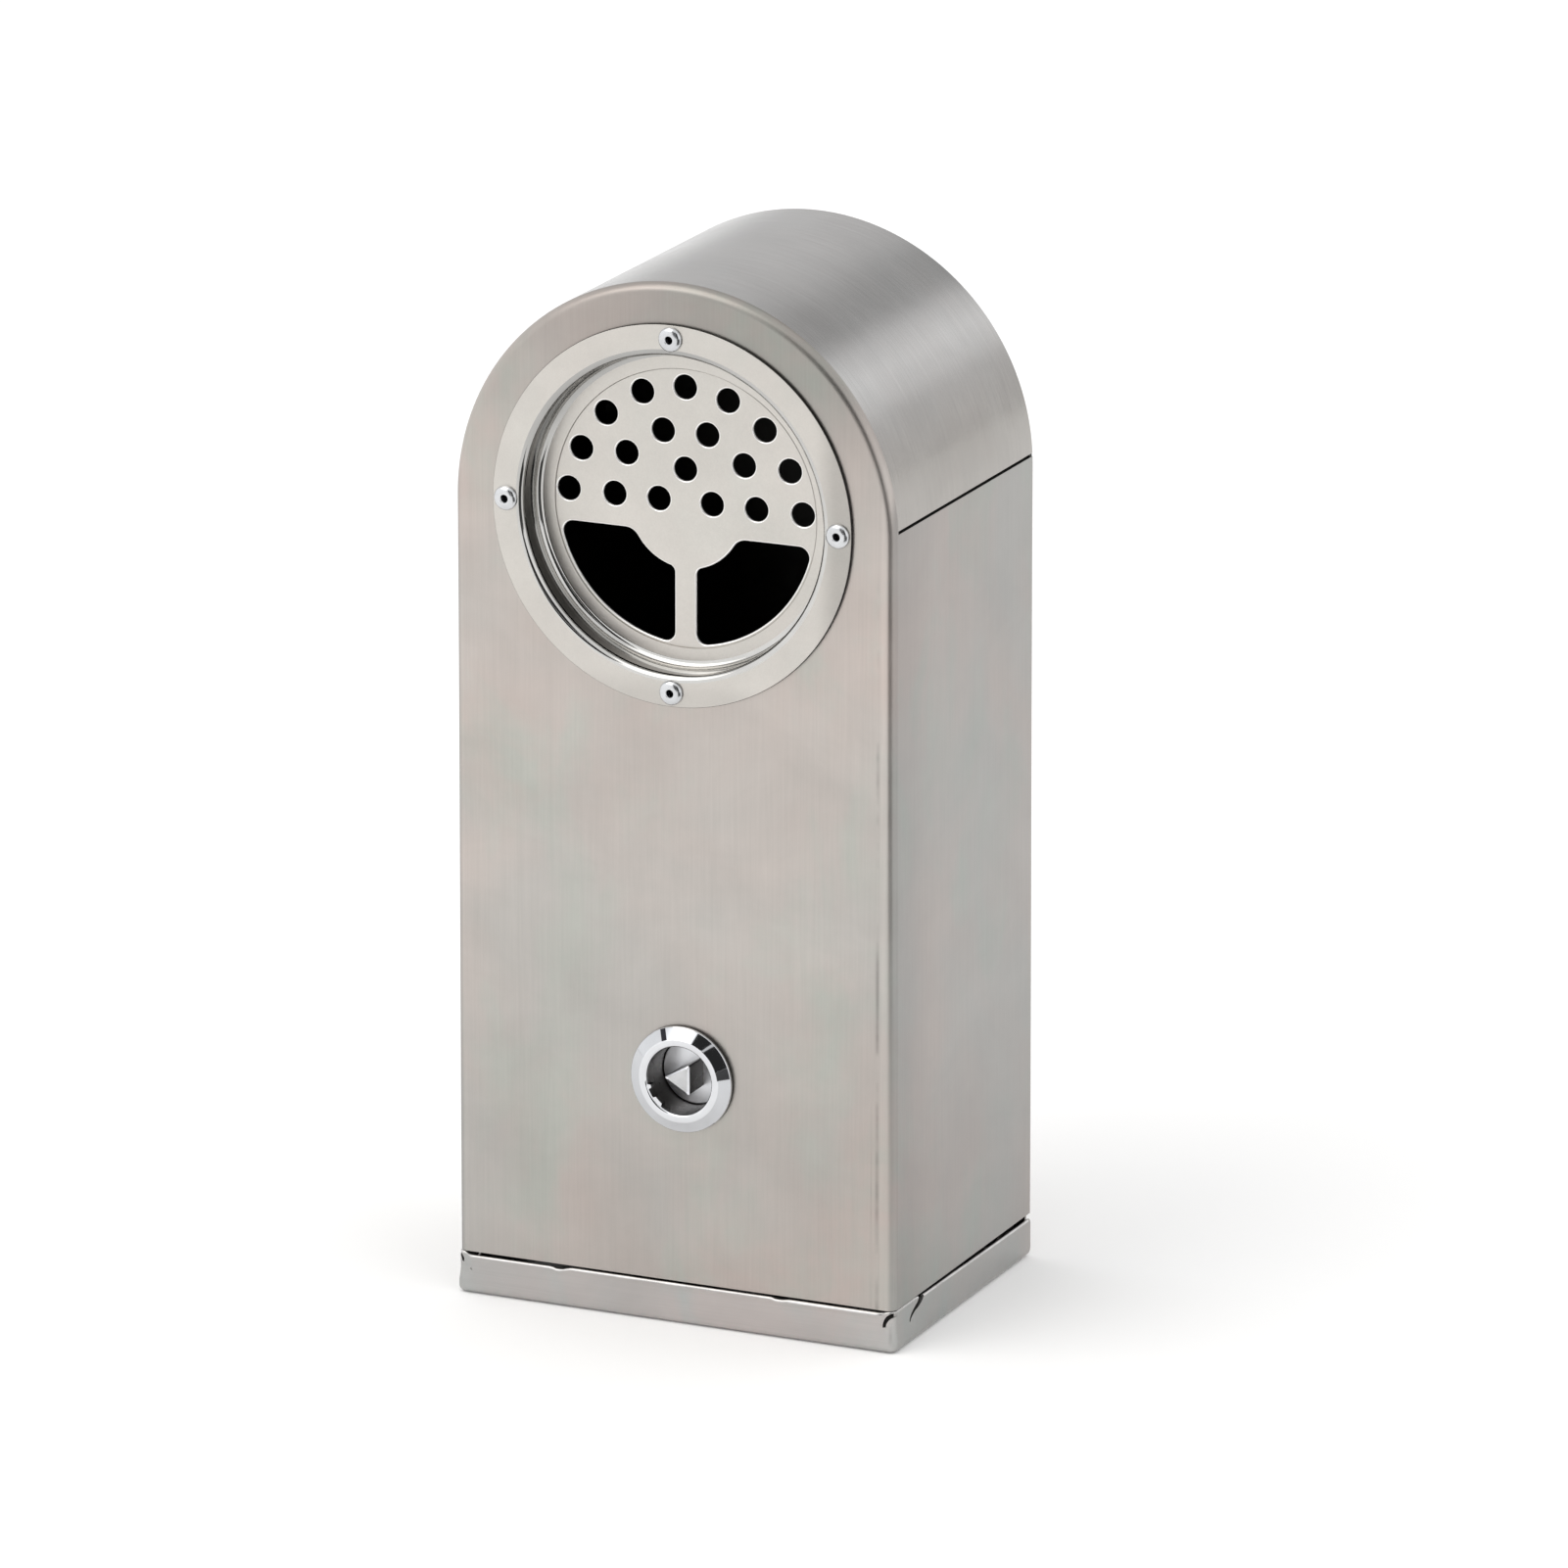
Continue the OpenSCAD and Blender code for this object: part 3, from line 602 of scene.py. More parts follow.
def build_front_and_sides():
    """The folded sheet: the arched front panel's edge rolls back into the two side walls."""
    fold_steps = 10
    verts, faces = [], []
    stations = casing_stations()
    sections = []
    for (cx, cz), (ox, oz), reach, on_wall in stations:
        outer, inner = [], []
        for k in range(fold_steps + 1):
            a = math.pi / 2 * k / fold_steps
            for ring, r in ((outer, FOLD_R), (inner, FOLD_R - SHEET)):
                out = reach - FOLD_R + r * math.sin(a)
                ring.append((cx + ox * out, Y_FRONT + FOLD_R - r * math.cos(a), cz + oz * out))
        rows = [outer, inner]
        if on_wall:
            outer.append((cx + ox * reach, Y_BACK, cz + oz * reach))
            inner.append((cx + ox * (reach - SHEET), Y_BACK, cz + oz * (reach - SHEET)))
        index = []
        for row in rows:
            index.append(list(range(len(verts), len(verts) + len(row))))
            verts += row
        sections.append(index)
    last = fold_steps
    for (outer_a, inner_a), (outer_b, inner_b) in zip(sections, sections[1:]):
        walled = len(outer_a) > last + 1 and len(outer_b) > last + 1
        end = last + 1 if walled else last
        for k in range(end):
            faces.append((outer_a[k], outer_b[k], outer_b[k + 1], outer_a[k + 1]))
            faces.append((inner_a[k], inner_a[k + 1], inner_b[k + 1], inner_b[k]))
        faces.append((outer_a[end], outer_b[end], inner_b[end], inner_a[end]))
    # the walls' top edges, where the seam starts, and the bottom edges
    for i in (0, len(sections) - 1):
        outer, inner = sections[i]
        for k in range(last + 1):
            faces.append((outer[k], outer[k + 1], inner[k + 1], inner[k]))
    for i, (outer, inner) in enumerate(sections):
        neighbours = [len(sections[j][0]) for j in (i - 1, i + 1) if 0 <= j < len(sections)]
        if len(outer) > last + 1 and min(neighbours) == last + 1:
            faces.append((outer[last], outer[last + 1], inner[last + 1], inner[last]))
    front = [outer[0] for outer, inner in sections]
    rear = [inner[0] for outer, inner in sections]
    faces.append(tuple(front))
    faces.append(tuple(reversed(rear)))
    faces.append((front[0], rear[0], rear[-1], front[-1]))
    obj = piece("front_and_sides_shell", verts, faces)
    y0, y1 = Y_FRONT - 3, Y_FRONT + 1.4
    cutters = [disc_y("cut_dish", 0, DISH_Z, DISH_WALL_R + DISH_BEND + 0.1, y0, y1, 128)]
    cutters.append(disc_y("cut_lock", LOCK_X, LOCK_Z, LOCK_HOLE_R, y0, y1))
    for x, z in rivet_places():
        cutters.append(disc_y("cut_rivet", x, z, RIVET_HOLE_R, y0, y1, 32))
    carve(obj, cutters)
    bevel(obj, 0.07)
    finish_piece(obj, steel_casing, "casing", "brushed_casing", "front_and_sides")
    # painted shade on the inner faces, and on the walls' top edges under the seam
    second_material(obj, steel_inside_shade, lambda c, n: n.y > 0.2 and abs(c.x) < HALF_W - FOLD_R + 0.5
                    or n.z > 0.7 and abs(c.z - SIDE_TOP) < 0.3 and abs(c.x) > HALF_W - 2 * SHEET
                    or c.z < ARCH_Z and abs(n.x) > 0.5 and n.x * c.x < 0
                    or c.z > ARCH_Z and c.y > Y_FRONT + SHEET and n.x * c.x + n.z * (c.z - ARCH_Z) < -1)


def build_hood():
    """The half-round hood, with a tongue inside each lower edge and a small weld at each rear end."""
    steps = 112
    start = math.asin((HOOD_BOTTOM - ARCH_Z) / ARCH_R)
    verts, faces = [], []
    for i in range(steps + 1):
        a = math.pi - start - (math.pi - 2 * start) * i / steps
        for r in (ARCH_R, ARCH_R - SHEET):
            for y in (Y_FRONT + FOLD_R, Y_BACK):
                verts.append((r * math.cos(a), y, ARCH_Z + r * math.sin(a)))
    for i in range(steps):
        a, b = 4 * i, 4 * i + 4
        faces += [(a, a + 1, b + 1, b), (a + 2, b + 2, b + 3, a + 3)]
        faces += [(a, b, b + 2, a + 2), (a + 1, a + 3, b + 3, b + 1)]
    end = 4 * steps
    faces += [(0, 2, 3, 1), (end, end + 1, end + 3, end + 2)]
    shell = piece("hood_shell", verts, faces)
    parts = [shell]
    outer = HALF_W - SHEET - TONGUE_GAP
    inner = outer - SHEET
    for side in (-1, 1):
        outline = [(inner, TONGUE_LOW), (inner + 0.5, TONGUE_LOW - 0.5), (outer, TONGUE_LOW)]
        outline += [(outer, HOOD_BOTTOM + 3.0), (outer - 0.35, TONGUE_HIGH), (inner, TONGUE_HIGH)]
        outline = [(side * x, z) for x, z in outline]
        parts.append(prism_y("tongue", outline, Y_FRONT + FOLD_R + 0.2, Y_BACK - 2 * SHEET))
    for side in (-1, 1):
        low = (side * (outer + 0.4) - 0.5, Y_BACK - 1.6, SIDE_TOP + 0.02)
        high = (side * (outer + 0.4) + 0.5, Y_BACK - 0.1, HOOD_BOTTOM - 0.02)
        parts.append(block("rear_weld", low, high))
    obj = join("arched_hood_shell", parts)
    bevel(obj, 0.06)
    finish_piece(obj, steel_hood, "casing", "brushed_casing", "arched_hood")
    # painted shade on the hood's inner faces, its tongues, its lower edges and the small welds
    second_material(obj, steel_inside_shade, lambda c, n: n.x * c.x + n.z * (c.z - ARCH_Z) < -1
                    or abs(c.x) < ARCH_R - 1 and c.z < TONGUE_HIGH and abs(n.y) < 0.5
                    or c.z < HOOD_BOTTOM)


def build_back():
    """The back plate, with its wall screw holes, bright outside and near black inside, where the shade is painted.
    """
    half = HALF_W - SHEET
    bottom = back_low.z
    side_z = SIDE_TOP - 0.05
    turn = math.degrees(math.asin((side_z - ARCH_Z) / (ARCH_R - SHEET)))
    rim = [(-half, bottom), (half, bottom), (half, side_z)]
    rim += arc(0, ARCH_Z, ARCH_R - SHEET - 0.03, turn, 180 - turn, 96) + [(-half, side_z)]
    holes = frame["record"]["mounts"][0]
    across, up = holes["dims"]["spacing_x_mm"] / 2, holes["dims"]["spacing_y_mm"] / 2
    middle = holes["pos_m"][2] / MM
    outlines = [rim]
    for x in (-across, across):
        for z in (middle - up, middle + up):
            outlines.append(arc(x, z, holes["dims"]["hole_r_mm"], 0, 360, 40)[:-1])
    obj = filled_plate("back_panel", outlines, Y_BACK - SHEET / 2, SHEET, 0.12)
    flat_shading(obj)
    finish_piece(obj, steel_casing, "casing", "brushed_casing", "back_plate")
    # painted shade on the back plate's inner face
    second_material(obj, steel_inside_shade, lambda c, n: n.y < -0.5)


# ---------------------------------------------------------------- dish
def rivet_places():
    """The four rivets' centres: (x, z)."""
    return [(RIVET_RING * math.cos(a), DISH_Z + RIVET_RING * math.sin(a)) for a in
            (0, math.pi / 2, math.pi, 3 * math.pi / 2)]


STUB_R = 3.05
OUTER_ARC_R, OUTER_STEP = 30.9, 22.0
INNER_ARC_R, INNER_ANGLES = 20.3, (17.2, 51.4)
TOP_HOLE_Z = 10.1
ROW_Z, ROW_X = 1.9, (7.2, 19.2, 31.7)
DROP_OUT_R, DROP_HUB_R, DROP_TOP, DROP_STEM = 34.6, 15.4, 6.4, 3.0


def stub_holes():
    """The stub-out holes' centres about the dish's axis: two arcs, a row and one alone."""
    holes = []
    for k in range(-3, 4):
        a = math.radians(k * OUTER_STEP)
        holes.append((OUTER_ARC_R * math.sin(a), OUTER_ARC_R * math.cos(a)))
    for side in (-1, 1):
        for angle in INNER_ANGLES:
            a = math.radians(angle)
            holes.append((side * INNER_ARC_R * math.sin(a), INNER_ARC_R * math.cos(a)))
        holes += [(side * x, ROW_Z) for x in ROW_X]
    holes.append((0.0, TOP_HOLE_Z))
    return holes


def drop_outline(side):
    """One drop opening about the dish's axis: rim arc, stem, hub arc and rounded corners."""
    def corner(reach, fixed_x=None, fixed_z=None):
        if fixed_x is not None:
            return (fixed_x, -math.sqrt(reach ** 2 - fixed_x ** 2))
        return (math.sqrt(reach ** 2 - fixed_z ** 2), fixed_z)

    r_top, r_low, r_stem, r_hub = 2.7, 2.5, 1.8, 4.0
    top = corner(DROP_OUT_R - r_top, fixed_z=-DROP_TOP - r_top)
    low = corner(DROP_OUT_R - r_low, fixed_x=DROP_STEM + r_low)
    stem = corner(DROP_HUB_R + r_stem, fixed_x=DROP_STEM + r_stem)
    hub = corner(DROP_HUB_R + r_hub, fixed_z=-DROP_TOP - r_hub)
    points = arc(*top, r_top, 90, bearing(top))
    points += arc(0, 0, DROP_OUT_R, bearing(top), bearing(low), 24)[1:]
    points += arc(*low, r_low, bearing(low), -180)[1:]
    points += arc(*stem, r_stem, 180, bearing(stem) + 180)
    points += arc(0, 0, DROP_HUB_R, bearing(stem), bearing(hub), 12)[1:]
    points += arc(*hub, r_hub, bearing(hub) + 180, 90)[1:]
    return [(side * x, z) for x, z in points]


def filled_plate(name, outlines, y_mid, thickness, edge):
    """A flat plate in X-Z from closed outlines, the first its rim and the rest holes, with rolled edges."""
    curve = bpy.data.curves.new(name, "CURVE")
    curve.dimensions = "2D"
    curve.fill_mode = "BOTH"
    curve.extrude = (thickness / 2 - edge) * MM
    curve.bevel_depth = edge * MM
    curve.bevel_resolution = 2
    curve.offset = -edge * MM
    for outline in outlines:
        spline = curve.splines.new("POLY")
        spline.points.add(len(outline) - 1)
        for point, (x, z) in zip(spline.points, outline):
            point.co = (x * MM, z * MM, 0.0, 1.0)
        spline.use_cyclic_u = True
    holder = placed(name, curve)
    graph = bpy.context.evaluated_depsgraph_get()
    mesh = bpy.data.meshes.new_from_object(holder.evaluated_get(graph))
    bpy.data.objects.remove(holder)
    for v in mesh.vertices:
        x, z, depth = v.co
        v.co = (x, y_mid * MM - depth, z)
    return placed(name, mesh)


def build_dish():
    """The dish: a turned flange, wall and bend round a flat plate with the holes and the drop openings."""
    flat_r = DISH_WALL_R - DISH_BEND
    bend_c = DISH_WALL_R + DISH_BEND
    low = DISH_DEPTH - DISH_BEND
    rim = 0.22
    margin_r = DROP_OUT_R + 1.0
    profile = [(DISH_R - rim, 0.0)]
    profile += arc(bend_c, DISH_BEND, DISH_BEND, -90, -180, 12)
    profile += arc(flat_r, low, DISH_BEND, 0, 90, 12)
    back = DISH_DEPTH + SHEET
    profile += [(margin_r - 0.1, DISH_DEPTH), (margin_r - 0.1, back), (flat_r, back)]
    profile += arc(flat_r, low, DISH_BEND + SHEET, 90, 0, 10)[1:]
    profile += arc(bend_c, DISH_BEND, DISH_BEND - SHEET, -180, -90, 8)
    profile += [(DISH_R - rim, SHEET)]
    profile += arc(DISH_R - rim, SHEET - rim, rim, 90, 0, 3)[1:]
    profile += arc(DISH_R - rim, rim, rim, 0, -90, 3)[:-1]
    rim_part = revolved("dish_rim", profile, 0, DISH_FRONT, DISH_Z, 192)
    cutters = [disc_y("cut_rivet", x, z, RIVET_HOLE_R, DISH_FRONT - 1, Y_FRONT + 1, 32)
               for x, z in rivet_places()]
    carve(rim_part, cutters)
    outlines = [arc(0, DISH_Z, margin_r, 0, 360, 160)[:-1]]
    for x, z in stub_holes():
        outlines.append(arc(x, DISH_Z + z, STUB_R, 0, 360, 40)[:-1])
    for side in (-1, 1):
        outlines.append([(x, DISH_Z + z) for x, z in drop_outline(side)])
    plate = filled_plate("dish_plate", outlines, DISH_FRONT + DISH_DEPTH + SHEET / 2, SHEET, 0.4)
    dish = join("ash_dish_pressing", [rim_part, plate])
    flat_shading(dish)
    finish_piece(dish, steel_dish, "casing", "dish_steel", "ash_dish")
    plate_y = DISH_FRONT + DISH_DEPTH

    def reach(c):
        return math.hypot(c.x, c.z - DISH_Z)

    # painted highlight on the edges of the plate's holes and openings
    second_material(dish, steel_edge_highlight, lambda c, n: abs(n.y) < 0.97 and reach(c) < DROP_OUT_R + 0.5
                    and c.y < plate_y + 0.45)
    second_material(dish, steel_wall, lambda c, n: flat_r - 0.1 < reach(c) < bend_c + 0.05 and n.y < 0.9
                    and n.x * c.x + n.z * (c.z - DISH_Z) < 0.5)
    # painted shade on the dish's back and on the flange's outer edge
    second_material(dish, steel_inside_shade, lambda c, n: n.y > 0.5 or reach(c) > DISH_R - 0.1 and n.y > -0.8)


def build_rivets():
    """Four blind rivets, each a head with a tail behind the panel and the broken stem inside."""
    head_r, head_h, bore = 3.15, 1.3, 0.95
    parts, stems = [], []
    for x, z in rivet_places():
        profile = [(bore, 0.5), (bore, 0.25 - head_h), (bore + 0.12, 0.08 - head_h), (bore + 0.4, -head_h)]
        for k in range(1, 9):
            a = math.radians(90 - 10 * k)
            dome_r = bore + 0.4 + (head_r - bore - 0.4) * math.cos(a)
            profile.append((dome_r, -0.2 - (head_h - 0.2) * math.sin(a)))
        profile += [(head_r, -0.1), (head_r - 0.15, 0.0), (1.6, 0.0), (1.6, 2.0), (2.2, 2.6), (2.4, 4.0)]
        profile += [(2.2, 5.4), (1.7, 6.0), (bore, 6.0)]
        parts.append(revolved("rivet", profile, x, DISH_FRONT, z, 40, 50))
        stem = [(0.0, 0.9), (0.6, 0.9), (0.9, 1.2), (0.9, 6.0)]
        stem += [(1.5, 6.1), (1.5, 7.0), (1.1, 7.2), (0.0, 7.2)]
        stems.append(revolved("stem", stem, x, DISH_FRONT, z, 24, 50))
    finish_piece(join("dish_rivet_heads", parts), rivet_metal, "casing", "rivet_aluminium", "dish_rivets")
    # the stems are near black: painted shade in the rivets' bores
    finish_piece(join("dish_rivet_stems", stems), dark_stem_shade_and_mark, "casing", "plated_steel", "rivet_stems")


# ---------------------------------------------------------------- lock
def build_lock():
    """The bezel with its threaded barrel and index mark, and the plug that turns in it."""
    face_r, cone_d = 10.7, 1.5
    back = 2.2
    barrel_r, barrel_end = 11.0, 25.0
    lip = 0.75
    profile = [(BORE_R, 16.0)] + arc(BORE_R + lip, lip, lip, 180, 270, 8)
    profile += [(face_r - 0.25, 0.0), (face_r - 0.05, 0.03), (face_r + 0.15, 0.14)]
    profile += [(BEZEL_R - 0.2, cone_d - 0.1), (BEZEL_R - 0.06, cone_d + 0.05), (BEZEL_R, cone_d + 0.25)]
    profile += [(BEZEL_R, back - 0.1), (BEZEL_R - 0.1, back), (barrel_r, back)]
    d = back + 2.2
    while d < barrel_end - 1.0:
        root_r = barrel_r - 0.45
        profile += [(barrel_r, d), (root_r, d + 0.25), (root_r, d + 0.4), (barrel_r, d + 0.65)]
        d += 1.0
    profile += [(barrel_r, barrel_end - 0.6), (barrel_r - 0.6, barrel_end), (5.6, barrel_end), (5.6, 16.0)]
    body = revolved("lock_barrel", profile, LOCK_X, LOCK_FRONT, LOCK_Z, 160, 25)
    carve(body, [index_mark("cut_index", 0.74, -1.0)], 25)
    tabs = []
    for angle, width in ((197, 9), (226, 20)):
        inner, outer = BORE_R - 0.75, BORE_R + 0.2
        outline = arc(LOCK_X, LOCK_Z, inner, angle - width / 2 + 2, angle + width / 2 - 2, 6)
        outline += arc(LOCK_X, LOCK_Z, outer, angle + width / 2, angle - width / 2, 6)
        tabs.append(prism_y("tab", outline, LOCK_FRONT + 0.4, LOCK_FRONT + 2.2))
    housing = join("lock_bezel_and_barrel", [body] + tabs, 12)
    finish_piece(housing, chrome, "casing", "lock_chrome", "lock_housing")
    # painted shade: the cone takes the darker chrome
    second_material(housing, chrome_cone_shaded, lambda c, n: n.y < -0.3 and c.y < LOCK_FRONT + cone_d + 0.3
                    and math.hypot(c.x - LOCK_X, c.z - LOCK_Z) > face_r + 0.1)
    # painted shade inside the bezel's bore
    second_material(housing, bore_shade_metal, lambda c, n: c.y > LOCK_FRONT + 1.0
                    and math.hypot(c.x - LOCK_X, c.z - LOCK_Z) < BORE_R + 0.2)
    mark = index_mark("lock_index_mark", 0.72, 0.12)
    bevel(mark, 0.05)
    finish_piece(mark, dark_stem_shade_and_mark, "casing", "seal_rubber")

    face, r = 10.0, BORE_R - 0.05
    plug_profile = [(0.0, face), (r - 0.3, face), (r, face + 0.3)]
    plug_profile += [(r, 12.1), (7.03, 12.1), (7.03, 13.9), (r, 13.9)]    # the O-ring's groove
    plug_profile += [(r, 15.9), (5.5, 15.9), (5.5, 25.0), (3.0, 25.0), (3.0, 18.0), (0.0, 18.0)]
    plug = revolved("plug_disc", plug_profile, LOCK_X, LOCK_FRONT, LOCK_Z, 96)
    tang_half = 3.5
    tang = block("tang", (LOCK_X - tang_half, LOCK_FRONT + 25.0, LOCK_Z - tang_half),
                 (LOCK_X + tang_half, LOCK_FRONT + 28.0, LOCK_Z + tang_half))
    carve(tang, [disc_y("tang_bore", LOCK_X, LOCK_Z, 3.0, LOCK_FRONT + 24, LOCK_FRONT + 29)])
    stud = build_stud(4.3, 0.35, 0.45, 1.2, face + 0.5)
    whole = join("lock_plug_and_stud", [plug, tang, stud])
    finish_piece(whole, zinc, "lock", "plug_zinc", "lock_plug")
    # painted light on the forward faces, painted shade on the stud's front face
    second_material(whole, zinc_face_lit, lambda c, n: n.y < -0.3)
    second_material(whole, zinc_stud_shaded, lambda c, n: n.y < -0.95 and c.y < LOCK_FRONT + 2)
    # painted shade on the stud's sides
    second_material(whole, bore_shade_metal, lambda c, n: abs(n.y) < 0.2 and c.y < LOCK_FRONT + face)


def index_mark(name, half, front):
    """A short dark line on the bezel's cone, a little left of the top."""
    turn = math.radians(111)
    along, across = Vector((math.cos(turn), math.sin(turn))), Vector((-math.sin(turn), math.cos(turn)))
    outline = []
    for reach, side in ((10.8, -1), (10.8, 1), (13.65, 1), (13.65, -1)):
        spot = along * reach + across * half * side
        outline.append((LOCK_X + spot.x, LOCK_Z + spot.y))
    slopes = (0.0, 0.0, 1.4, 1.4) if front > 0 else (0.0,) * 4    # a cutter's front stays flat
    near = [(x, LOCK_FRONT + front + slope, z) for (x, z), slope in zip(outline, slopes)]
    return prism(name, [near, [(x, LOCK_FRONT + 2.0, z) for x, z in outline]])


def build_stud(corner_r, round_r, chamfer, front, back):
    """A triangular key stud with rounded corners, one pointing to -X, and a chamfered front edge."""
    def outline(inset):
        points = []
        for k in range(3):
            a = 180 + 120 * k
            reach = corner_r - 2 * inset - round_r
            cx = LOCK_X + reach * math.cos(math.radians(a))
            cz = LOCK_Z + reach * math.sin(math.radians(a))
            points += arc(cx, cz, round_r, a - 60, a + 60, 6)
        return points

    rings = [(outline(chamfer), front), (outline(0.0), front + chamfer), (outline(0.0), back)]
    verts, faces = [], []
    for points, depth in rings:
        verts += [(x, LOCK_FRONT + depth, z) for x, z in points]
    n = len(rings[0][0])
    faces.append(tuple(range(n)))
    for k in (0, n):
        faces += [(k + i, k + (i + 1) % n, k + n + (i + 1) % n, k + n + i) for i in range(n)]
    faces.append(tuple(range(3 * n - 1, 2 * n - 1, -1)))
    return piece("stud", verts, faces, 25)


# ---------------------------------------------------------------- trap pan
PAN_FRONT = pan_low.y
PAN_HALF = pan_high.x
PAN_BACK = pan_high.y
PAN_H = 10.4
PAN_FOLD = 1.5
PAN_CORNER = 2.2
REAR_ROUND = 0.6
SIDE_SLIT_Y = -26.0
PITS = ((-56.2, 6.6, 0.35), (-58.4, 5.0, 0.3))    # x, z, radius


def pan_path():
    """The pan's outside edge in plan from rear left to rear right: (x, y, outward x, outward y, run)."""
    length = PAN_BACK - (PAN_FRONT + PAN_CORNER)
    ends = [0.0, 0.15, 0.35, 0.7, 1.1, 1.5, 2.0, 4.0]
    steps = ends + [4.0 + (length - 16.0) * i / 14 for i in range(1, 15)]
    steps += [length - 12.0 + 0.5 * i for i in range(1, 25)]
    left = [(-PAN_HALF, PAN_BACK - s, -1.0, 0.0) for s in steps]
    turn = [math.radians(180 + 90 * i / 12) for i in range(1, 12)]
    corner = [
        (-PAN_HALF + PAN_CORNER + PAN_CORNER * math.cos(a), PAN_FRONT + PAN_CORNER + PAN_CORNER * math.sin(a),
         math.cos(a), math.sin(a)) for a in turn
    ]
    half = PAN_HALF - PAN_CORNER
    count = 118
    front = [(-half + 2 * half * i / count, PAN_FRONT, 0.0, -1.0) for i in range(count + 1)]
    right = [(-x, y, -ox, oy) for x, y, ox, oy in reversed(left + corner)]
    return left + corner + front + right


def rear_rounding(y):
    """How far the pan's rear end is rounded off at a place."""
    rear = PAN_BACK - y
    if rear >= REAR_ROUND:
        return 0.0
    return REAR_ROUND - math.sqrt(max(0.0, REAR_ROUND ** 2 - (REAR_ROUND - rear) ** 2))


def near_corner(x, y, start, end, length):
    """1 at a front corner of the pan, fading along the front and the side."""
    return smooth(abs(x), PAN_HALF - start, PAN_HALF - end) * (1 - smooth(y, SIDE_SLIT_Y - length, SIDE_SLIT_Y))


def pan_top(x, y):
    """Height of the lip along the pan: the front hem lies in lengths, and the rear ends are rounded."""
    front = y < PAN_FRONT + 0.01
    if front:
        height = PAN_H - 0.2
        height -= 0.4 * smooth(x, -34.0, -32.5) * (1 - smooth(x, -31.5, -28.5))
        height += 0.3 * smooth(x, -32.0, -28.0)
        height -= 0.35 * smooth(x, 26.5, 28.0) * (1 - smooth(x, 29.0, 31.5))
    else:
        height = PAN_H
    height += (WALL_BOTTOM - 0.15 - height) * near_corner(x, y, 3.4, 2.4, 1.5)
    if not front and y > SIDE_SLIT_Y:
        height -= 0.55 * smooth(y, SIDE_SLIT_Y, PAN_BACK)
    return height - rear_rounding(y)


def pan_section(x, y):
    """The pan's section at a place on its edge: (distance in from the outside, height) round the sheet."""
    top, foot = pan_top(x, y), rear_rounding(y)
    corner = near_corner(x, y, 4.2, 3.0, 3.0)
    bead = 0.0
    if corner < 0.5 and y < PAN_FRONT + 0.01:
        bead = 0.16 + 0.2 * smooth(x, 28.5, 31.0)
    base = 7.0
    points = [(base, 0.0)]
    points += [(PAN_FOLD - PAN_FOLD * math.sin(a), PAN_FOLD - PAN_FOLD * math.cos(a)) for a in
               (math.pi / 2 * k / 6 for k in range(7))]
    inset = 0.42 * corner
    points += [(inset * smooth(z, 2.5, 6.0), z) for z in (3.0, 4.5, 6.0, 7.5)]
    r = SHEET / 2 + bead / 2
    points += [(inset, top - 2.6 * r), (inset - 0.3 * bead, top - 1.9 * r)]
    points += [(inset - bead + r - r * math.cos(a), top - r + r * math.sin(a)) for a in
               (math.pi * k / 8 for k in range(9))]
    inner = SHEET
    points += [(inner + inset, top - 1.9 * r), (inner + inset, 7.5), (inner, 3.0)]
    bend = PAN_FOLD - inner
    points += [(inner + bend * (1 - math.cos(a)), PAN_FOLD - bend * math.sin(a)) for a in
               (math.pi / 2 * k / 3 for k in range(4))]
    points += [(base, SHEET)]
    scale = (top - foot) / top
    return [(d, foot + z * scale) for d, z in points]


def build_pan():
    """The pan: its section swept round the front and sides, with the relief slits and two pits cut out."""
    path = pan_path()
    verts, faces = [], []
    rows = []
    for x, y, ox, oy in path:
        section = pan_section(x, y)
        reach = PAN_CORNER if abs(ox) < 1 and abs(oy) < 1 else None
        row = []
        for d, z in section:
            depth = d if reach is None else min(d, reach)
            px, py = x - ox * depth, y - oy * depth
            if reach is not None and d > reach:
                # past the corner's centre the floor's edge runs along the straight inner corner
                extra = d - reach
                sx = -1 if x < 0 else 1
                px -= sx * extra
                py += extra
            row.append(len(verts))
            verts.append((px, py, z))
        rows.append(row)
    n = len(rows[0])
    for a, b in zip(rows, rows[1:]):
        faces += [(a[i], b[i], b[i + 1], a[i + 1]) for i in range(n - 1)]
    faces.append(tuple(reversed(rows[0])))
    faces.append(tuple(rows[-1]))
    under = [row[0] for row in rows]
    over = [row[-1] for row in rows]
    faces.append(tuple(under))
    faces.append(tuple(reversed(over)))
    faces.append((under[0], over[0], over[-1], under[-1]))
    obj = piece("trap_pan_pressing", verts, faces)
    floor_back = trap_leaf_high.y - 2.0 - 0.3
    cutters = [block("cut_floor", (-HALF_W + 0.7, floor_back, -1), (HALF_W - 0.7, PAN_BACK + 2, 2.6))]
    for side in (-1, 1):
        cutters.append(front_slit(side))
        cutters.append(side_slit(side))
    for x, z, r in PITS:
        cutters.append(disc_y("cut_pit", x, z, r, PAN_FRONT - 1, PAN_FRONT + 0.25, 12))
    carve(obj, cutters)
    bevel(obj, 0.1, angle=50)
    finish_piece(obj, steel_pan, "trap", "brushed_casing", "trap_pan")
    # painted highlight on the top of the pan's hem
    second_material(obj, steel_hem_highlight, lambda c, n: c.z > PAN_H - 1.6 and n.z > 0.12 and c.y < PAN_BACK - 1)


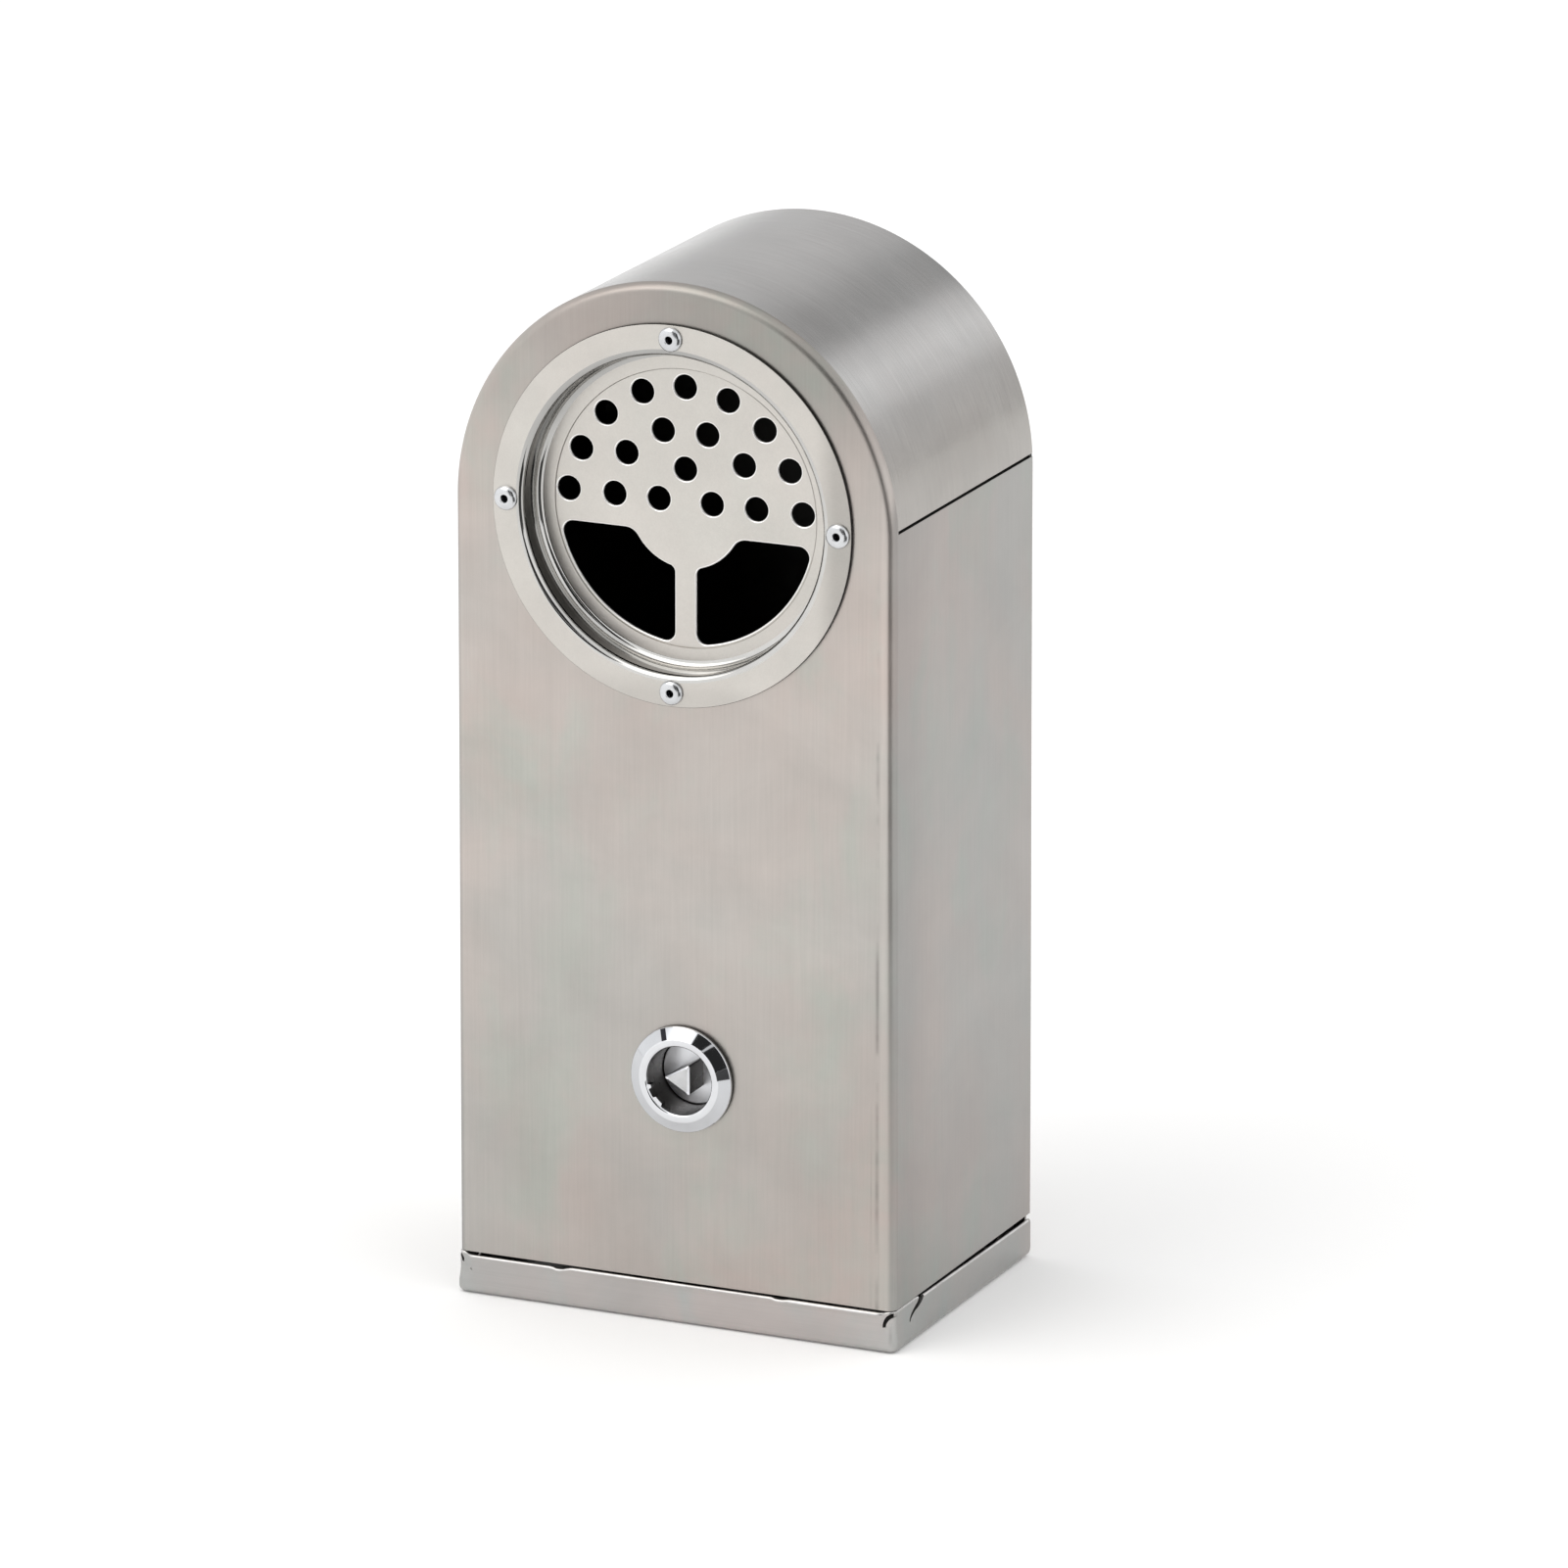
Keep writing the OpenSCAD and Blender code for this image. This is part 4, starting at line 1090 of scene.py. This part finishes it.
def front_slit(side):
    """The hooked relief slit between the front lip's end and the corner, larger on the right."""
    r, gap = (3.3, 1.3) if side > 0 else (2.0, 1.0)
    cx, cz = PAN_HALF + 0.4, PAN_H - 0.1 - r
    outer, inner = [], []
    for i in range(15):
        a = math.radians(185 - 6.5 * i)
        near = r - gap * (0.1 + 0.5 * i / 14)
        far_z = r + gap * 0.5 * math.sin(a - 1.2)
        outer.append((cx + (r + gap * 0.5) * math.cos(a), cz + far_z * math.sin(a)))
        inner.append((cx + near * math.cos(a), cz + near * math.sin(a)))
    outline = outer + [(cx - 0.2, PAN_H + 1.0), (cx + 0.4, PAN_H + 1.0)] + inner[::-1]
    return prism_y("cut_slit", [(side * x, z) for x, z in outline], PAN_FRONT - 1, PAN_FRONT + 2.3)


def side_slit(side):
    """The curved relief slit at the front end of a side lip, which widens into the gap under the wall."""
    steps = [i / 12 for i in range(13)]
    spine = [(SIDE_SLIT_Y + 0.6 - 6.6 * t + 0.7 * math.sin(2 * math.pi * t), PAN_H + 0.2 - 5.0 * t)
             for t in steps]
    wide = [0.2 + 1.1 * (1 - t) for t in steps]
    outline = [(y + w, z - 0.4 * w) for (y, z), w in zip(spine, wide)]
    outline += [(y - w, z + 0.4 * w) for (y, z), w in reversed(list(zip(spine, wide)))]
    outline += [(SIDE_SLIT_Y - 1.5, PAN_H + 1.5), (SIDE_SLIT_Y + 1.5, PAN_H + 1.5)]
    ends = (side * (PAN_HALF - 2.0), side * (PAN_HALF + 1.0))
    return prism("cut_side_slit", [[(x, y, z) for y, z in outline] for x in ends])


# ---------------------------------------------------------------- studio
FLOOR_Z, FLOOR_REACH = -0.0002, 9.0
CARD_Z, CARD_NEAR, CARD_FAR = 0.0004, 0.345, 8.0    # metres, the distances from the lock
CARD_START, CARD_SWEEP = 17, 45                     # degrees right of straight ahead


def build_studio():
    """A plain pale floor, which glows a little so that it stays white beside the object."""
    mesh = bpy.data.meshes.new("studio_floor")
    corners = [(-1, -1), (1, -1), (1, 1), (-1, 1)]
    mesh.from_pydata([(x * FLOOR_REACH, y * FLOOR_REACH, 0) for x, y in corners], [], [(0, 1, 2, 3)])
    floor = placed("studio_floor", mesh)
    floor.location.z = FLOOR_Z
    mat, tree, shader = new_material("floor_white")
    configure(tree, shader, {"Base Color": (0.95,) * 3, "Roughness": 0.9, "Specular IOR Level": 0.0})
    configure(tree, shader, {"Emission Color": (1.0,) * 3, "Emission Strength": 0.07})
    floor.data.materials.append(mat)


def build_dark_card():
    """A black card on the floor at the right front, seen only in reflections, as a studio's flag is."""
    x, y = LOCK_X * MM, LOCK_FRONT * MM
    turn = [math.radians(CARD_START + CARD_SWEEP * i / 12) for i in range(13)]
    verts = [(x + r * math.sin(a), y - r * math.cos(a), CARD_Z) for r in (CARD_NEAR, CARD_FAR) for a in turn]
    n = len(turn)
    mesh = bpy.data.meshes.new("dark_card")
    mesh.from_pydata(verts, [], [(i, i + 1, n + i + 1, n + i) for i in range(n - 1)])
    card = placed("dark_card", mesh)
    mat, tree, shader = new_material("card_black")
    configure(tree, shader, {"Base Color": (0.03,) * 3, "Roughness": 0.9})
    card.data.materials.append(mat)
    card.visible_camera = card.visible_diffuse = card.visible_shadow = False


# brightness of the world: (angle from straight up towards the right, level) behind the object
SOFT_BOXES = (
    (-110, 1.12), (-90, 0.90), (-72, 0.70), (-50, 0.77), (-30, 0.80), (-14, 0.72), (2, 0.55),
    (18, 0.54), (33, 1.0), (44, 1.2), (55, 1.08), (67, 0.80), (85, 0.80), (110, 0.5),
)
WALL_LEVELS = ((0.0, 1.0), (0.5, 1.12), (0.7, 1.1), (0.85, 0.9), (1.0, 0.95))    # from straight down to up
BEHIND_Y, IN_FRONT_Y = (0.45, 0.65), (-0.3, -0.4)
# in front of the object, as z and as x over y of the direction
GLOW_Z, GLOW_X, GLOW = (0.38, 0.46, 0.66, 0.74), (0.08, 0.13, 1.0, 1.2), 1.7
PANEL_Z, PANEL_X, PANEL = (0.66, 0.60), (-0.92, -0.82, 0.115, 0.145), 0.03
STRIP_X, STRIP = (-0.192, -0.182, -0.152, -0.142), 0.8
WORLD_STRENGTH = 1.1


def build_world():
    """Soft studio surroundings: white walls and soft boxes behind, and in front a dark panel with a strip
    of light in it and a bright patch beside it."""
    world = bpy.data.worlds.new("studio")
    bpy.context.scene.world = world
    world.use_nodes = True
    tree = world.node_tree
    tree.nodes.clear()
    out = tree.nodes.new("ShaderNodeOutputWorld")
    light = tree.nodes.new("ShaderNodeBackground")
    tree.links.new(light.outputs[0], out.inputs[0])
    x, y, z = axes(tree, "Generated")

    def ramp(value, stops):
        """A grey that follows a value through the given stops."""
        node = tree.nodes.new("ShaderNodeValToRGB")
        node.color_ramp.interpolation = "EASE"
        while len(node.color_ramp.elements) < len(stops):
            node.color_ramp.elements.new(0.5)
        for element, (place, level) in zip(node.color_ramp.elements, stops):
            element.position = place
            element.color = (level, level, level, 1.0)
        tree.links.new(value, node.inputs[0])
        return node.outputs[0]

    walls = ramp(spread(tree, z, -1, 1), WALL_LEVELS)
    turn = spread(tree, calc(tree, "ARCTAN2", x, z), -math.pi, math.pi)
    behind = ramp(turn, [((angle + 180) / 360, level) for angle, level in SOFT_BOXES])
    colour = blend_colour(tree, fade(tree, y, *BEHIND_Y), walls, behind)

    aside = calc(tree, "DIVIDE", x, y)
    in_front = fade(tree, y, *IN_FRONT_Y)
    glow = multiplied(tree, between(tree, z, *GLOW_Z), in_front, between(tree, aside, *GLOW_X))
    colour = blend_colour(tree, glow, colour, (GLOW,) * 3)
    panel = multiplied(tree, in_front, fade(tree, z, *PANEL_Z), between(tree, aside, *PANEL_X))
    colour = blend_colour(tree, panel, colour, (PANEL,) * 3)
    strip = multiplied(tree, panel, between(tree, aside, *STRIP_X))
    colour = blend_colour(tree, strip, colour, (STRIP,) * 3)
    tree.links.new(colour, light.inputs["Color"])
    light.inputs["Strength"].default_value = WORLD_STRENGTH


def area_light(name, place, target, size, power, colour):
    """A rectangular lamp at one place, aimed at another."""
    data = bpy.data.lights.new(name, "AREA")
    data.shape = "RECTANGLE"
    data.size, data.size_y = size
    data.energy = power
    data.color = colour
    lamp = placed(name, data)
    lamp.location = place
    lamp.rotation_euler = (Vector(target) - Vector(place)).to_track_quat("-Z", "Y").to_euler()
    lamp.visible_camera = False


def build_camera():
    """The photograph's view: angles in degrees, distances in metres."""
    azimuth, elevation = math.radians(24.21), math.radians(16.25)
    distance, target = 2.911, Vector((0.01087, 0.001, 0.13046))
    flat = math.cos(elevation)
    back = Vector((math.sin(azimuth) * flat, -math.cos(azimuth) * flat, math.sin(elevation)))
    data = bpy.data.cameras.new("camera")
    data.sensor_width = 36.0
    data.lens = 267.08
    data.clip_start, data.clip_end = 0.05, 50.0
    camera = placed("camera", data)
    camera.location = target + back * distance
    camera.rotation_mode = "QUATERNION"
    camera.rotation_quaternion = (-back).to_track_quat("-Z", "Y")
    bpy.context.scene.camera = camera


build_camera()
build_world()
build_studio()
build_dark_card()
area_light("key_light", (-1.2, -1.6, 2.6), (-0.2, -0.4, 0.0), (2.4, 2.4), 22, (1.0, 0.96, 0.91))
bpy.context.scene.view_settings.view_transform = "Standard"

build_front_and_sides()
build_hood()
build_dish()
build_rivets()
build_lock()
build_pan()
build_back()
for node, mat, width in (
    ("lock_gasket", seal_rubber, 0.1), ("lock_nut", steel_plated, 0.3), ("plug_o_ring", seal_rubber, 0.05),
    ("hook_cam", steel_plated, 0.25), ("cam_washer", steel_plated, 0.1), ("cam_screw", steel_plated, 0.2),
    ("hinge_body_leaf", steel_hinge, 0.1), ("hinge_pin", steel_hinge, 0.1),
    ("hinge_trap_leaf", steel_hinge, 0.1), ("catch_bracket", steel_plated, 0.15),
):
    finish_cad(node, mat, width)
